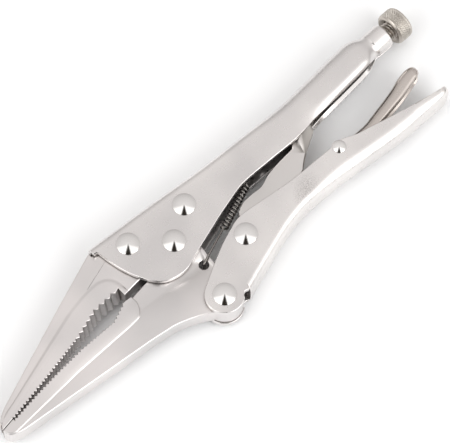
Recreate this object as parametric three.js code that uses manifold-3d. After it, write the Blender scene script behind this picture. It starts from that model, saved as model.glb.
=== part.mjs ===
// Long-nose locking pliers, lying on their side: +X runs from the nose to the adjusting knob,
// +Y from the lower handle to the spine of the upper handle, +Z along the rivets. Millimetres.
// The pieces are placed about the jaw pivot and the whole tool is then set down on Z = 0.

import * as THREE from 'three';
import { mergeVertices } from 'three/addons/utils/BufferGeometryUtils.js';
import Module from 'manifold-3d';

const wasm = await Module();
wasm.setup();

// ---- driving dimensions -------------------------------------------------------------------

const JAW_WEB = 7.9; // thickness of both jaws between the handle walls
const NOSE_STEP = 0.45; // how far the gripping pads stand proud of the web, each side
const SIDE_GAP = 0.25; // jaw, link or lever to handle wall, each side
const SHEET = 2.0; // handle sheet
const NOSE_REACH = 94.6; // jaw pivot to nose tip
const BOSS_REACH = 118.6; // jaw pivot to the rear face of the threaded boss
const LOWER_REACH = 124.0; // jaw pivot to the rear tip of the lower handle
const LEVER_REACH = 120.4; // jaw pivot to the rear tip of the release lever
const LINK_REACH = 70.68; // jaw pivot to the round tail of the link, along X

const RIVET_SHANK = 2.5; // radius
const RIVET_HEAD = 4.5; // radius
const RIVET_DOME = 1.6; // head height
const LEVER_PIN = 1.5; // radius
const LEVER_PIN_HEAD = 2.65;
const LEVER_PIN_DOME = 1.1;
const HOLE_GAP = 0.1; // rivet shank to hole, radial
const HEAD_GAP = 0.08; // rivet head to the face under it

const SCREW_RADIUS = 3.75;
const THREAD_GAP = 0.25; // screw to boss, radial
const BOSS_WALL = 1.4;
const BOSS_LENGTH = 8.2;
const SCREW_TILT = THREE.MathUtils.degToRad(7.2);
const KNOB_RADIUS = 6.85;
const KNOB_LENGTH = 6.9;
const KNOB_STANDOFF = 3.4; // boss face to knob
const LINK_TO_SCREW = 2.9; // open pivot of the linkage

const TOOTH_PITCH = 1.6;
const TOOTH_DEPTH = 0.75;
const THROAT_PITCH = 2.8;
const THROAT_DEPTH = 1.1;
const BITE_GAP = 0.3; // between the closed nose lands

const LINK_WALL = 1.6;
const LINK_TAIL = 2.55; // half width of the link's tail, which passes between the handle's lips
const TAIL_RADIUS = 3.0;
const LEVER_SHEET = 1.4;
const LEVER_NOSE = 3.4; // thickness of the lever's nose, inside the link
const EAR_RADIUS = 7.6; // lower handle round its pivot
const KNUCKLE_RADIUS = 7.2; // movable jaw round the same pivot
const HUB_RADIUS = 8.6; // movable jaw round the jaw pivot
const LUG_RADIUS = 6.0; // link and fixed-jaw lugs round their rivets
const RELIEF_RADIUS = 1.9; // hole where the fold of the lower handle starts
const SPRING_RADIUS = 1.7;
const WIRE_RADIUS = 0.45;
const SPRING_HOLE = 1.95; // radius, in the movable jaw

// pivots in the XY plane, from the jaw pivot at the origin
const JAW_PIVOT = new THREE.Vector2(0, 0);
const FRONT_RIVET = new THREE.Vector2(-14.6, 9.4);
const REAR_RIVET = new THREE.Vector2(12.0, 9.8);
const HANDLE_PIVOT = new THREE.Vector2(1.9, -28.9);
const LINK_PIVOT = new THREE.Vector2(23.2, -14.0);
const LEVER_PIVOT = new THREE.Vector2(73.9, -6.5);
const SPRING_HOOK = new THREE.Vector2(3.5, -13.9);
const SPRING_TAB = new THREE.Vector2(48.0, 9.6);
const BOSS_FACE = new THREE.Vector2(BOSS_REACH, 23.5); // screw axis at the boss's rear face

// ---- sizes that follow from them ----------------------------------------------------------

const WEB_HALF = JAW_WEB / 2;
const NOSE_HALF = WEB_HALF + NOSE_STEP;
const WALL_IN = WEB_HALF + SIDE_GAP;
const HALF_WIDTH = WALL_IN + SHEET;
const BORE_RADIUS = SCREW_RADIUS + THREAD_GAP;
const BOSS_RADIUS = BORE_RADIUS + BOSS_WALL;
const SCREW_AXIS = new THREE.Vector2(Math.cos(SCREW_TILT), Math.sin(SCREW_TILT));
const LINK_TAIL_POINT = new THREE.Vector2(LINK_REACH, screwAxisY(LINK_REACH));
const SCREW_TIP = LINK_TAIL_POINT.distanceTo(BOSS_FACE) - LINK_TO_SCREW - TAIL_RADIUS; // from the boss face
const GRIP_HALF_WIDTH = Math.max(HALF_WIDTH, BORE_RADIUS + SHEET); // the grip takes jaw web and screw
const SIDES = 24; // facets of a round piece
const CROWN = 0.12; // half the flat left on the crown of a round section

// the folds of the handles, and the room that a square-edged plate needs inside one
const FOLD_RADIUS = 1.6 * SHEET;
const FOLD_INSIDE = FOLD_RADIUS - SHEET;
const FOLD_ROOM = FOLD_INSIDE - Math.sqrt(FOLD_INSIDE ** 2 - (FOLD_INSIDE - SIDE_GAP) ** 2) + 0.15;

/** Height of the screw's axis at a station along X. */
function screwAxisY(x) {
  return BOSS_FACE.y + (x - BOSS_FACE.x) * Math.tan(SCREW_TILT);
}

// ---- geometry helpers ---------------------------------------------------------------------

/** A monotone smooth line through [x, y] points, as a function of x. */
function smoothLine(points) {
  const last = points.length - 1;
  const slopes = [];
  for (let i = 0; i < last; i += 1) {
    slopes.push((points[i + 1][1] - points[i][1]) / (points[i + 1][0] - points[i][0]));
  }
  const tangents = points.map((_, i) => {
    if (i === 0) return slopes[0];
    if (i === last) return slopes[last - 1];
    const product = slopes[i - 1] * slopes[i];
    return product <= 0 ? 0 : (2 * product) / (slopes[i - 1] + slopes[i]);
  });
  return (x) => {
    if (x <= points[0][0]) return points[0][1] + slopes[0] * (x - points[0][0]);
    if (x >= points[last][0]) return points[last][1] + slopes[last - 1] * (x - points[last][0]);
    const i = points.findIndex((p) => p[0] > x) - 1;
    const width = points[i + 1][0] - points[i][0];
    const t = (x - points[i][0]) / width;
    const rise = t * t * (3 - 2 * t);
    return points[i][1] * (1 - rise) + points[i + 1][1] * rise
      + width * (tangents[i] * t * (1 - t) ** 2 - tangents[i + 1] * t * t * (1 - t));
  };
}

/** Evenly spaced values from one end to the other, both included. */
function steps(from, to, count) {
  return Array.from({ length: count + 1 }, (_, i) => from + ((to - from) * i) / count);
}

/** A closed geometry as a solid that can be cut and joined. */
function solid(geometry) {
  const bare = geometry.clone();
  bare.deleteAttribute('normal');
  bare.deleteAttribute('uv');
  const merged = mergeVertices(bare, 1e-5);
  return new wasm.Manifold(new wasm.Mesh({
    numProp: 3,
    vertProperties: new Float32Array(merged.attributes.position.array),
    triVerts: new Uint32Array(merged.index.array),
  }));
}

/** A solid back as a geometry. */
function geometryOf(body) {
  const mesh = body.getMesh();
  const geometry = new THREE.BufferGeometry();
  const vertices = new Float32Array(mesh.vertProperties);
  geometry.setAttribute('position', new THREE.BufferAttribute(vertices, 3));
  geometry.setIndex(new THREE.BufferAttribute(new Uint32Array(mesh.triVerts), 1));
  geometry.computeVertexNormals();
  return geometry;
}

/** An outline in XY made into a plate centred on Z = 0. */
function plate(outline, halfThickness, curveSegments = 12) {
  const shape = outline instanceof THREE.Shape ? outline : new THREE.Shape(outline);
  const geometry = new THREE.ExtrudeGeometry(shape, {
    depth: 2 * halfThickness, bevelEnabled: false, curveSegments,
  });
  return solid(geometry.translate(0, 0, -halfThickness));
}

/** A round bar along Z through a point. */
function bar(centre, radius, halfLength, sides = SIDES) {
  const geometry = new THREE.CylinderGeometry(radius, radius, 2 * halfLength, sides);
  return solid(geometry.rotateX(Math.PI / 2).translate(centre.x, centre.y, 0));
}

/** A turned piece: [radius, height] points from axis to axis, spun about +Z. */
function turned(profile, sides = SIDES) {
  const points = profile.map(([r, h]) => new THREE.Vector2(r, h));
  return new THREE.LatheGeometry(points, sides).rotateX(Math.PI / 2);
}

/** A round wire through points, with closed ends. */
function wire(points, radius) {
  const section = new THREE.Shape().absarc(0, 0, radius, 0, 2 * Math.PI);
  const path = new THREE.CatmullRomCurve3(points, false, 'centripetal');
  return solid(new THREE.ExtrudeGeometry(section, {
    steps: 6 * (points.length - 1), extrudePath: path, curveSegments: 4, bevelEnabled: false,
  }));
}

const BEND_FACETS = 4;
const LIP_FACETS = 3;

/**
 * Half of a folded-sheet section as [across, down] points, from the bend to the lip. `inset`
 * is the distance inside the outer face. The lip is the last stretch of wall, of length `lip`,
 * rolled inward through `curl` radians.
 */
function halfSection({ halfWidth, bend, depth, lip, curl }, inset) {
  const points = steps(0, Math.PI / 2, BEND_FACETS).map((a) => [
    halfWidth - bend + (bend - inset) * Math.sin(a),
    bend - (bend - inset) * Math.cos(a),
  ]);
  if (curl === 0) {
    steps(depth - lip, depth, LIP_FACETS).forEach((down) => points.push([halfWidth - inset, down]));
    return points;
  }
  const rollRadius = lip / curl;
  const start = depth - rollRadius * Math.sin(curl);
  steps(0, curl, LIP_FACETS).forEach((a) => points.push([
    halfWidth - rollRadius * (1 - Math.cos(a)) - inset * Math.cos(a),
    start + rollRadius * Math.sin(a) - inset * Math.sin(a),
  ]));
  return points;
}

/** A folded-sheet rib: its spine sits at `spine`, and `down` points from the spine to the lips. */
function rib(section, spine, down) {
  const place = ([across, depth]) => new THREE.Vector3(
    spine.x + down.x * depth, spine.y + down.y * depth, across);
  const outer = halfSection(section, 0).map(place);
  const inner = halfSection(section, section.sheet).map(place);
  const mirror = (points) => points.map((p) => new THREE.Vector3(p.x, p.y, -p.z));
  return [
    ...outer.slice().reverse(), ...mirror(outer),
    ...mirror(inner).reverse(), ...inner,
  ];
}

/** Ribs skinned into a folded shell; each end is closed by a strip across the sheet. */
function foldedShell(ribs) {
  const count = ribs[0].length;
  const last = (ribs.length - 1) * count;
  const faces = [];
  const quad = (a, b, c, d) => faces.push(a, b, c, a, c, d);
  for (let first = 0; first < last; first += count) {
    for (let j = 0; j < count; j += 1) {
      const next = (j + 1) % count;
      quad(first + j, first + next, first + count + next, first + count + j);
    }
  }
  for (let j = 0; j < count / 2 - 1; j += 1) {
    const inner = count - 1 - j;
    quad(j + 1, j, inner, inner - 1);
    quad(last + j, last + j + 1, last + inner - 1, last + inner);
  }
  const points = ribs.flat().flatMap((p) => p.toArray());
  const build = (index) => {
    const geometry = new THREE.BufferGeometry();
    geometry.setAttribute('position', new THREE.Float32BufferAttribute(points, 3));
    geometry.setIndex(index);
    return solid(geometry);
  };
  const body = build(faces);
  return body.volume() > 0 ? body : build(faces.reverse());
}

// ---- upper handle -------------------------------------------------------------------------

const SPINE_FRONT = -27.6;
const GRIP_START = 62.0; // where the lips begin to roll in
const BOSS_START = BOSS_REACH - BOSS_LENGTH;
const NECK = BOSS_START - 0.2; // narrowest station, just ahead of the boss
const BOSS_CHAMFER = 0.45;
const LIP_LENGTH = 6.6; // stretch of each wall that rolls in
const NECK_DIP = 0.25; // how far the neck is pinched below the boss

const upperHalfWidth = smoothLine([
  [SPINE_FRONT, HALF_WIDTH], [GRIP_START, HALF_WIDTH], [GRIP_START + 12, GRIP_HALF_WIDTH],
  [BOSS_START - 10, GRIP_HALF_WIDTH], [BOSS_START - 5, GRIP_HALF_WIDTH - 0.25],
  [NECK, BOSS_RADIUS - NECK_DIP], [BOSS_START + 0.9, BOSS_RADIUS],
  [BOSS_REACH - 0.9, BOSS_RADIUS], [BOSS_REACH, BOSS_RADIUS - BOSS_CHAMFER],
]);

/** A point of the spine whose sheet passes the screw's bore with some room. */
function overScrew(x, room) {
  return [x, screwAxisY(x) + BORE_RADIUS + room + SHEET];
}

const spineAheadOfNeck = smoothLine([
  [SPINE_FRONT, 17.3], [3.5, 18.4], [25.7, 18.9], [42.4, 19.9], [61.3, 21.6],
  overScrew(0.682 * BOSS_REACH, 0.365), overScrew(0.83 * BOSS_REACH, 1.447),
  overScrew(BOSS_START - 6.5, 1.557), [NECK, screwAxisY(NECK) + BOSS_RADIUS - NECK_DIP],
]);

/** Outer face of the spine; behind the neck it is the top of the boss. */
function upperSpine(x) {
  return x < NECK ? spineAheadOfNeck(x) : screwAxisY(x) + upperHalfWidth(x);
}

/** Lower edge of the walls, from the front corner over the jaw pivot to the boss. */
const upperEdge = smoothLine([
  [SPINE_FRONT, 17.2], [-26.3, 15.3], [-24.7, 8.7], [-22.2, 1.4], [-19.3, -4.1], [-16.3, -8.2],
  [-13.3, -10.8], [-9.9, -12.1], [-6, -12.5], [-2.7, -12.1], [2.9, -9.5], [14, -4.6],
  [25.1, 0], [36.2, 3.7], [49.6, 5.1], [GRIP_START, 6.2], [76.1, 9.4],
  [0.768 * BOSS_REACH, 12.3], [BOSS_START - 4.8, screwAxisY(BOSS_START - 4.8) - BOSS_RADIUS - 1.058],
  [NECK, screwAxisY(NECK) - BOSS_RADIUS + NECK_DIP],
]);

const upperBend = smoothLine([
  [SPINE_FRONT, FOLD_RADIUS], [45, FOLD_RADIUS], [75, GRIP_HALF_WIDTH - 0.7],
  [BOSS_START - 9, GRIP_HALF_WIDTH - 0.4],
]);

const upperTilt = smoothLine([
  [SPINE_FRONT, 0], [GRIP_START, 0], [BOSS_START - 3, SCREW_TILT], [BOSS_REACH, SCREW_TILT],
]);

/** Roll of the lips, from straight walls to the closed seam of the boss. */
const upperCurl = smoothLine([
  [SPINE_FRONT, 0], [GRIP_START, 0], [76, 0.62], [88, 1.2], [BOSS_START - 8, 1.2],
  [BOSS_START - 1, 1.5], [BOSS_REACH, 1.5],
]);

/** One rib of the upper handle at a station along X. */
function upperRib(x) {
  const tilt = upperTilt(x);
  const down = new THREE.Vector2(Math.sin(tilt), -Math.cos(tilt));
  const halfWidth = upperHalfWidth(x);
  const bend = Math.min(upperBend(x), halfWidth - CROWN);
  const curl = upperCurl(x);
  const spineY = upperSpine(x);
  let depth = spineY - upperEdge(x);
  for (let i = 0; i < 3; i += 1) {
    depth = (spineY - upperEdge(x + depth * down.x)) / Math.cos(tilt);
  }
  const rolled = THREE.MathUtils.smoothstep(x, BOSS_START - 8, BOSS_START - 0.5);
  const straightLip = Math.min(LIP_LENGTH, 0.5 * (depth - bend));
  const lip = THREE.MathUtils.lerp(straightLip, halfWidth * curl, rolled);
  if (rolled === 1) depth = bend + halfWidth * Math.sin(curl);
  const wallBelow = depth - (spineY - screwAxisY(x)) * Math.cos(tilt) - BORE_RADIUS;
  const drawn = rolled > 0 && rolled < 1 ? Math.min(SHEET, wallBelow) : SHEET;
  const sheet = Math.min(drawn, halfWidth - BORE_RADIUS);
  return rib(
    { halfWidth, bend, depth: Math.max(depth, bend + 0.6), lip: Math.max(lip, 0.25), curl, sheet },
    new THREE.Vector2(x, spineY), down);
}

/** Folded channel with a rolled, threaded boss at its rear end. */
function upperHandle() {
  const stations = [
    ...steps(SPINE_FRONT, -25, 3), ...steps(-23.4, -13, 6), ...steps(-10.5, 4, 5),
    ...steps(8, GRIP_START - 8, 7), ...steps(GRIP_START, BOSS_START - 9, 8),
    ...steps(BOSS_START - 6.5, NECK, 4), ...steps(BOSS_START + 0.9, BOSS_REACH - 0.9, 2),
    BOSS_REACH,
  ];
  let body = foldedShell(stations.map(upperRib));
  for (const centre of [JAW_PIVOT, FRONT_RIVET, REAR_RIVET]) {
    body = body.subtract(bar(centre, RIVET_SHANK + HOLE_GAP, HALF_WIDTH + 1));
  }
  const windowX = SPRING_TAB.x + 3.2;
  const window = new THREE.BoxGeometry(6.5, 3 * SHEET, 4.4);
  body = body.subtract(solid(window.translate(windowX, upperSpine(windowX), 0)));
  return geometryOf(body.add(springTab()));
}

/** The tongue lanced out of the spine, with a round nick that holds the spring's rear hook. */
function springTab() {
  const thickness = 1.3;
  const top = upperSpine(SPRING_TAB.x) - 0.4 * SHEET;
  const bottom = SPRING_TAB.y - 2.2;
  const tongue = new THREE.BoxGeometry(thickness, top - bottom, 3.6);
  const hole = new THREE.CylinderGeometry(2.5 * WIRE_RADIUS, 2.5 * WIRE_RADIUS, 3 * thickness, 12);
  const tab = solid(tongue.translate(SPRING_TAB.x - 0.4, (top + bottom) / 2, 0));
  return tab.subtract(solid(hole.rotateZ(Math.PI / 2).translate(SPRING_TAB.x, SPRING_TAB.y, 0)));
}

// ---- jaws ---------------------------------------------------------------------------------

const THROAT_BACK = -27.8;
const TEETH_START = -52.5; // rear end of the fine teeth
const LAND_LENGTH = 5.6; // flat land at the tip
const DRAWN_REACH = 94.6; // nose reach at which the stations of the nose are written

/** Scales a station on the nose with its reach; the part behind the throat stays put. */
function noseX(x) {
  const stretch = (NOSE_REACH + THROAT_BACK) / (DRAWN_REACH + THROAT_BACK);
  return x >= THROAT_BACK ? x : THROAT_BACK + (x - THROAT_BACK) * stretch;
}

/** Points of a saw edge from one point to another; teeth stand to the left of the way they run. */
function teeth(from, to, pitch, depth) {
  const way = to.clone().sub(from);
  const count = Math.round(way.length() / pitch);
  const side = new THREE.Vector2(-way.y, way.x).normalize().multiplyScalar(-depth);
  const points = [];
  for (let i = 0; i < count; i += 1) {
    points.push(from.clone().addScaledVector(way, i / count));
    points.push(from.clone().addScaledVector(way, (i + 0.5) / count).add(side));
  }
  return points;
}

const FIXED_TEETH = smoothLine([
  [noseX(-88.9), -20.5], [noseX(-69.5), -14.7], [noseX(TEETH_START), -9.2],
]);
const FIXED_THROAT = smoothLine([
  [noseX(TEETH_START), -9.2], [-48.5, -7.0], [-44, -4.9], [-38.9, -3.4], [-33.4, -2.3], [-28.4, -1.9],
]);
const MOVING_TEETH = smoothLine([
  [noseX(-88.9), -22.1], [noseX(-69.5), -17.4], [noseX(TEETH_START), -14.3],
]);

/** Steps of a curve turned into teeth. */
function toothedCurve(line, from, to, pitch, depth) {
  const count = Math.max(1, Math.round(Math.abs(to - from) / 12));
  const knots = steps(from, to, count).map((x) => new THREE.Vector2(x, line(x)));
  return knots.slice(1).flatMap((knot, i) => teeth(knots[i], knot, pitch, depth));
}

/** Flat land of the nose tip, on which the closed jaws meet. */
function landPoints(drop) {
  const tip = new THREE.Vector2(-NOSE_REACH + 0.1, -22.3 - drop);
  const heel = new THREE.Vector2(-NOSE_REACH + LAND_LENGTH, -20.8 - drop);
  return { tip, heel };
}

/** Upper jaw, riveted between the walls of the upper handle. */
function fixedJaw() {
  const seat = (x) => new THREE.Vector2(x, upperSpine(x) - SHEET - FOLD_ROOM);
  const { tip, heel } = landPoints(0);
  const shoulder = SPINE_FRONT - 0.3;
  const edge = [
    tip, heel,
    ...toothedCurve(FIXED_TEETH, noseX(-88.9), noseX(TEETH_START), TOOTH_PITCH, -TOOTH_DEPTH),
    ...toothedCurve(FIXED_THROAT, noseX(TEETH_START), -28.4, THROAT_PITCH, -THROAT_DEPTH),
    new THREE.Vector2(THROAT_BACK, -2.4), new THREE.Vector2(THROAT_BACK + 0.4, -6.1),
  ];
  const hollow = HUB_RADIUS + 0.4;
  const outline = new THREE.Shape(edge);
  outline.lineTo(-18.5, -4.1);
  outline.lineTo(-hollow * Math.cos(0.35), hollow * Math.sin(-0.35));
  outline.absarc(0, 0, hollow, Math.PI + 0.35, 0.42, true);
  outline.absarc(REAR_RIVET.x, REAR_RIVET.y, LUG_RADIUS, -1.9, Math.PI / 2 - 0.1, false);
  outline.lineTo(seat(REAR_RIVET.x - 3).x, seat(REAR_RIVET.x - 3).y);
  outline.lineTo(seat(shoulder).x, seat(shoulder).y);
  outline.lineTo(shoulder, seat(shoulder).y + 1.4);
  outline.lineTo(shoulder - 1, seat(shoulder).y + 1.3);
  outline.lineTo(noseX(-49.5), 5.5);
  outline.lineTo(noseX(-88.9), -15.1);
  outline.quadraticCurveTo(-NOSE_REACH + 1.0, -18.0, -NOSE_REACH + 0.1, -22.3);
  let body = plate(outline, WEB_HALF, 8);
  const pad = new THREE.Shape(edge);
  pad.quadraticCurveTo(THROAT_BACK + 0.6, 4.2, -33, 4.7);
  pad.quadraticCurveTo(-40, 4.4, noseX(-50), 0.6);
  pad.lineTo(noseX(-86), -15.9);
  pad.quadraticCurveTo(-NOSE_REACH + 1.2, -18.6, -NOSE_REACH + 0.1, -22.3);
  body = body.add(plate(pad, NOSE_HALF, 5));
  for (const centre of [FRONT_RIVET, REAR_RIVET]) {
    body = body.subtract(bar(centre, RIVET_SHANK + HOLE_GAP, WEB_HALF + 1));
  }
  return geometryOf(body);
}

/** Lower jaw: nose, hub on the jaw pivot and knuckle on the handle pivot in one plate. */
function movableJaw() {
  const { tip, heel } = landPoints(BITE_GAP);
  const edge = [
    tip, heel,
    ...toothedCurve(MOVING_TEETH, noseX(-88.9), noseX(TEETH_START), TOOTH_PITCH, TOOTH_DEPTH),
    new THREE.Vector2(noseX(-43.9), -13.2), new THREE.Vector2(-37.3, -12.9),
    ...teeth(new THREE.Vector2(-36.5, -12.6), new THREE.Vector2(-29.2, -8.4), THROAT_PITCH, THROAT_DEPTH),
    new THREE.Vector2(-28.7, -8.1), new THREE.Vector2(-26.4, -8.0),
  ];
  const outline = new THREE.Shape(edge);
  outline.lineTo(-18.4, -6.6);
  outline.lineTo(-HUB_RADIUS * Math.cos(0.52), -HUB_RADIUS * Math.sin(0.52));
  outline.absarc(0, 0, HUB_RADIUS, Math.PI + 0.52, -0.53, true);
  outline.lineTo(7.4, -24);
  outline.absarc(HANDLE_PIVOT.x, HANDLE_PIVOT.y, KNUCKLE_RADIUS, 0.4, Math.PI + 0.42, true);
  outline.quadraticCurveTo(-11, -28.6, -20, -27.1);
  outline.lineTo(-30, -26.7);
  outline.lineTo(noseX(-86.5), -26.9);
  outline.quadraticCurveTo(-NOSE_REACH + 0.8, -26.8, -NOSE_REACH + 0.1, tip.y);
  const pad = new THREE.Shape(edge.slice(0, -1));
  pad.lineTo(-25.9, -8.3);
  pad.quadraticCurveTo(-24.4, -12.4, -27.8, -16.2);
  pad.quadraticCurveTo(-29, -17.2, -39.5, -18.3);
  pad.lineTo(noseX(-59.5), -20.7);
  pad.lineTo(noseX(-90.6), -26.0);
  pad.quadraticCurveTo(-NOSE_REACH + 0.9, -25.6, -NOSE_REACH + 0.1, tip.y);
  let body = plate(outline, WEB_HALF, 10).add(plate(pad, NOSE_HALF, 5));
  for (const centre of [JAW_PIVOT, HANDLE_PIVOT]) {
    body = body.subtract(bar(centre, RIVET_SHANK + HOLE_GAP, WEB_HALF + 1));
  }
  return geometryOf(body.subtract(bar(SPRING_HOOK, SPRING_HOLE, WEB_HALF + 1, 16)));
}

// ---- lower handle -------------------------------------------------------------------------

const FOLD_START = new THREE.Vector2(9.2, -34.3);

/** Outer face of the lower spine. */
const lowerSpine = smoothLine([
  [FOLD_START.x, -34.1], [25.2, -26.9], [41.9, -20.1], [52.9, -17.6], [68.7, -16.9],
  [0.732 * LOWER_REACH, -16.8], [0.823 * LOWER_REACH, -16.2], [0.911 * LOWER_REACH, -14.6],
  [LOWER_REACH - 3, -13.2], [LOWER_REACH, -11.8],
]);

/** Inner edge of the walls, with a low hump round the lever's pin. */
const lowerEdge = smoothLine([
  [-2.2, -22.5], [7.3, -16], [14, -11.9], [19.6, -9.1], [25.1, -6.9], [29.5, -6.5], [47.3, -6.7],
  [66.2, -5.3], [LEVER_PIVOT.x - 3.2, -4.9], [LEVER_PIVOT.x, -3.7], [LEVER_PIVOT.x + 3.2, -4.4],
  [83, -6.2], [89.6, -7.1], [0.839 * LOWER_REACH, -8.9], [0.937 * LOWER_REACH, -10.1],
  [LOWER_REACH - 3.5, -10.4], [LOWER_REACH - 1.2, -10.9], [LOWER_REACH, -11.75],
]);

/** One rib of the lower handle, open towards +Y. */
function lowerRib(x) {
  const spineY = lowerSpine(x);
  const depth = lowerEdge(x) - spineY;
  const full = FOLD_RADIUS + 2 * THREE.MathUtils.smoothstep(x, 50, 72);
  const bend = Math.min(full, Math.max(SHEET + 0.25, depth - 1.0));
  const lip = Math.max(0.3, 0.5 * (depth - bend));
  return rib(
    { halfWidth: HALF_WIDTH, bend, depth: Math.max(depth, bend + 0.3), lip, curl: 0, sheet: SHEET },
    new THREE.Vector2(x, spineY), new THREE.Vector2(0, 1));
}

const EAR_STATIONS = steps(FOLD_START.x, 29.5, 6);

/** Flat ear in front of the fold; it shares its upper edge with the channel's wall. */
function ear() {
  const tangent = Math.PI / 2 + 0.568;
  const shared = EAR_STATIONS.slice(0, 4).reverse();
  const join = shared[0];
  const outline = new THREE.Shape();
  outline.absarc(HANDLE_PIVOT.x, HANDLE_PIVOT.y, EAR_RADIUS, tangent, 2 * Math.PI - 0.83, false);
  outline.lineTo(FOLD_START.x + 0.9, lowerSpine(FOLD_START.x) + 1.8 * SHEET);
  outline.lineTo(join, lowerSpine(join) + 1.8 * SHEET);
  shared.forEach((x) => outline.lineTo(x, lowerEdge(x)));
  return plate(outline, HALF_WIDTH, 20).subtract(plate(outline, WALL_IN, 20));
}

/** Folded channel of the lower handle. */
function lowerHandle() {
  const stations = [
    ...EAR_STATIONS, ...steps(35, LEVER_PIVOT.x - 8, 4),
    ...steps(LEVER_PIVOT.x - 4, LEVER_PIVOT.x + 4, 4), ...steps(83, LOWER_REACH - 6, 5),
    ...steps(LOWER_REACH - 3.5, LOWER_REACH, 3),
  ];
  let body = foldedShell(stations.map(lowerRib)).add(ear());
  for (const centre of [HANDLE_PIVOT, LINK_PIVOT]) {
    body = body.subtract(bar(centre, RIVET_SHANK + HOLE_GAP, HALF_WIDTH + 1));
  }
  body = body.subtract(bar(LEVER_PIVOT, LEVER_PIN + HOLE_GAP, HALF_WIDTH + 1, 16));
  return geometryOf(body.subtract(bar(FOLD_START, RELIEF_RADIUS, HALF_WIDTH + 1, 16)));
}

// ---- toggle link and release lever --------------------------------------------------------

/** Channel-shaped strut from the lower handle to the screw, open towards the lower handle. */
function toggleLink() {
  const tail = LINK_TAIL_POINT;
  const waist = new THREE.Vector2(57.6, -5.0);
  const outline = new THREE.Shape();
  outline.absarc(LINK_PIVOT.x, LINK_PIVOT.y, LUG_RADIUS, -1.15, Math.PI - 1.05, true);
  outline.absarc(LINK_PIVOT.x, LINK_PIVOT.y, LUG_RADIUS, Math.PI - 1.05, 1.25, true);
  outline.lineTo(29.6, -2.6);
  outline.quadraticCurveTo(31.5, -1.3, 41.3, -1.2);
  outline.quadraticCurveTo(44.5, 2.2, 51.3, 3.0);
  outline.lineTo(59.6, 4.4);
  outline.lineTo(tail.x - 5.2, tail.y - 5.2);
  outline.absarc(tail.x, tail.y, TAIL_RADIUS, Math.PI * 0.8, -0.35, true);
  outline.lineTo(71.8, 6.6);
  outline.quadraticCurveTo(62, 0.4, waist.x, waist.y);
  outline.lineTo(50, -9.6);
  const hollow = new THREE.Shape([
    new THREE.Vector2(30.5, -4.2), new THREE.Vector2(41.0, -2.9), new THREE.Vector2(44.5, 0.2),
    new THREE.Vector2(51.5, 1.2), new THREE.Vector2(58.5, 2.4), new THREE.Vector2(62.5, 2.0),
    new THREE.Vector2(66, -8), new THREE.Vector2(52, -30), new THREE.Vector2(32, -30),
  ]);
  let body = plate(outline, WEB_HALF, 8).subtract(plate(hollow, WEB_HALF - LINK_WALL));
  const shave = new THREE.BoxGeometry(24, 30, WEB_HALF);
  for (const side of [-1, 1]) {
    const block = shave.clone().translate(74.5, 12, side * (LINK_TAIL + WEB_HALF / 2));
    body = body.subtract(solid(block));
  }
  return geometryOf(body.subtract(bar(LINK_PIVOT, RIVET_SHANK + HOLE_GAP, WEB_HALF + 1)));
}

const leverWeb = smoothLine([
  [68, -3.3], [LEVER_PIVOT.x, -3.15], [80, -4.0], [87.4, -3.4], [95.7, -1.1],
  [LEVER_REACH - 13.6, 2.6], [LEVER_REACH - 8, 5.0], [LEVER_REACH - 3.4, 6.1], [LEVER_REACH, 5.4],
]);
const leverLip = smoothLine([
  [68, -9.5], [LEVER_PIVOT.x, -10.2], [82, -9.8], [95, -6.8], [LEVER_REACH - 17.3, -4.6],
  [LEVER_REACH - 12.3, -3.3], [LEVER_REACH - 6.7, -1.4], [LEVER_REACH - 2.3, 0.6], [LEVER_REACH, 2.4],
]);

/** One rib of the lever: rounded web towards the upper handle, open towards the lower one. */
function leverRib(x) {
  const depth = leverWeb(x) - leverLip(x);
  const bend = Math.min(WEB_HALF - 0.15, Math.max(LEVER_SHEET + 0.2, depth - 0.8));
  const lip = Math.max(0.2, 0.5 * (depth - bend));
  return rib(
    { halfWidth: WEB_HALF, bend, depth: Math.max(depth, bend + 0.3), lip, curl: 0, sheet: LEVER_SHEET },
    new THREE.Vector2(x, leverWeb(x)), new THREE.Vector2(0, -1));
}

/** Release lever: a pinned trough with a thin nose that reaches under the link. */
function releaseLever() {
  const stations = [
    ...steps(68, 80, 4), ...steps(85, LEVER_REACH - 5.4, 6), ...steps(LEVER_REACH - 3.4, LEVER_REACH, 3),
  ];
  const nose = new THREE.Shape([
    new THREE.Vector2(72, -4.1), new THREE.Vector2(66, -5.6), new THREE.Vector2(56, -8.0),
    new THREE.Vector2(53.6, -9.6), new THREE.Vector2(54.4, -11.2), new THREE.Vector2(64, -11.4),
    new THREE.Vector2(71, -9.0),
  ]);
  const bridge = new THREE.BoxGeometry(2.4, 3.6, 2 * (WEB_HALF - LEVER_SHEET) + 0.6);
  const body = foldedShell(stations.map(leverRib))
    .add(plate(nose, LEVER_NOSE / 2))
    .add(solid(bridge.translate(69.6, -7.0, 0)));
  return geometryOf(body.subtract(bar(LEVER_PIVOT, LEVER_PIN + HOLE_GAP, WEB_HALF + 1, 16)));
}

// ---- screw, spring and rivets -------------------------------------------------------------

/** Threaded rod, from its turned-down tip to the end inside the knob; built along +Z. */
function adjustingScrew() {
  const tipRadius = 0.7 * SCREW_RADIUS;
  const knobEnd = SCREW_TIP + KNOB_STANDOFF + 0.7 * KNOB_LENGTH;
  return turned([
    [0, 0], [tipRadius - 0.5, 0], [tipRadius, 0.5], [tipRadius, 3.2], [SCREW_RADIUS, 4.4],
    [SCREW_RADIUS, knobEnd - 0.6], [SCREW_RADIUS - 0.6, knobEnd], [0, knobEnd],
  ]);
}

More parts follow.
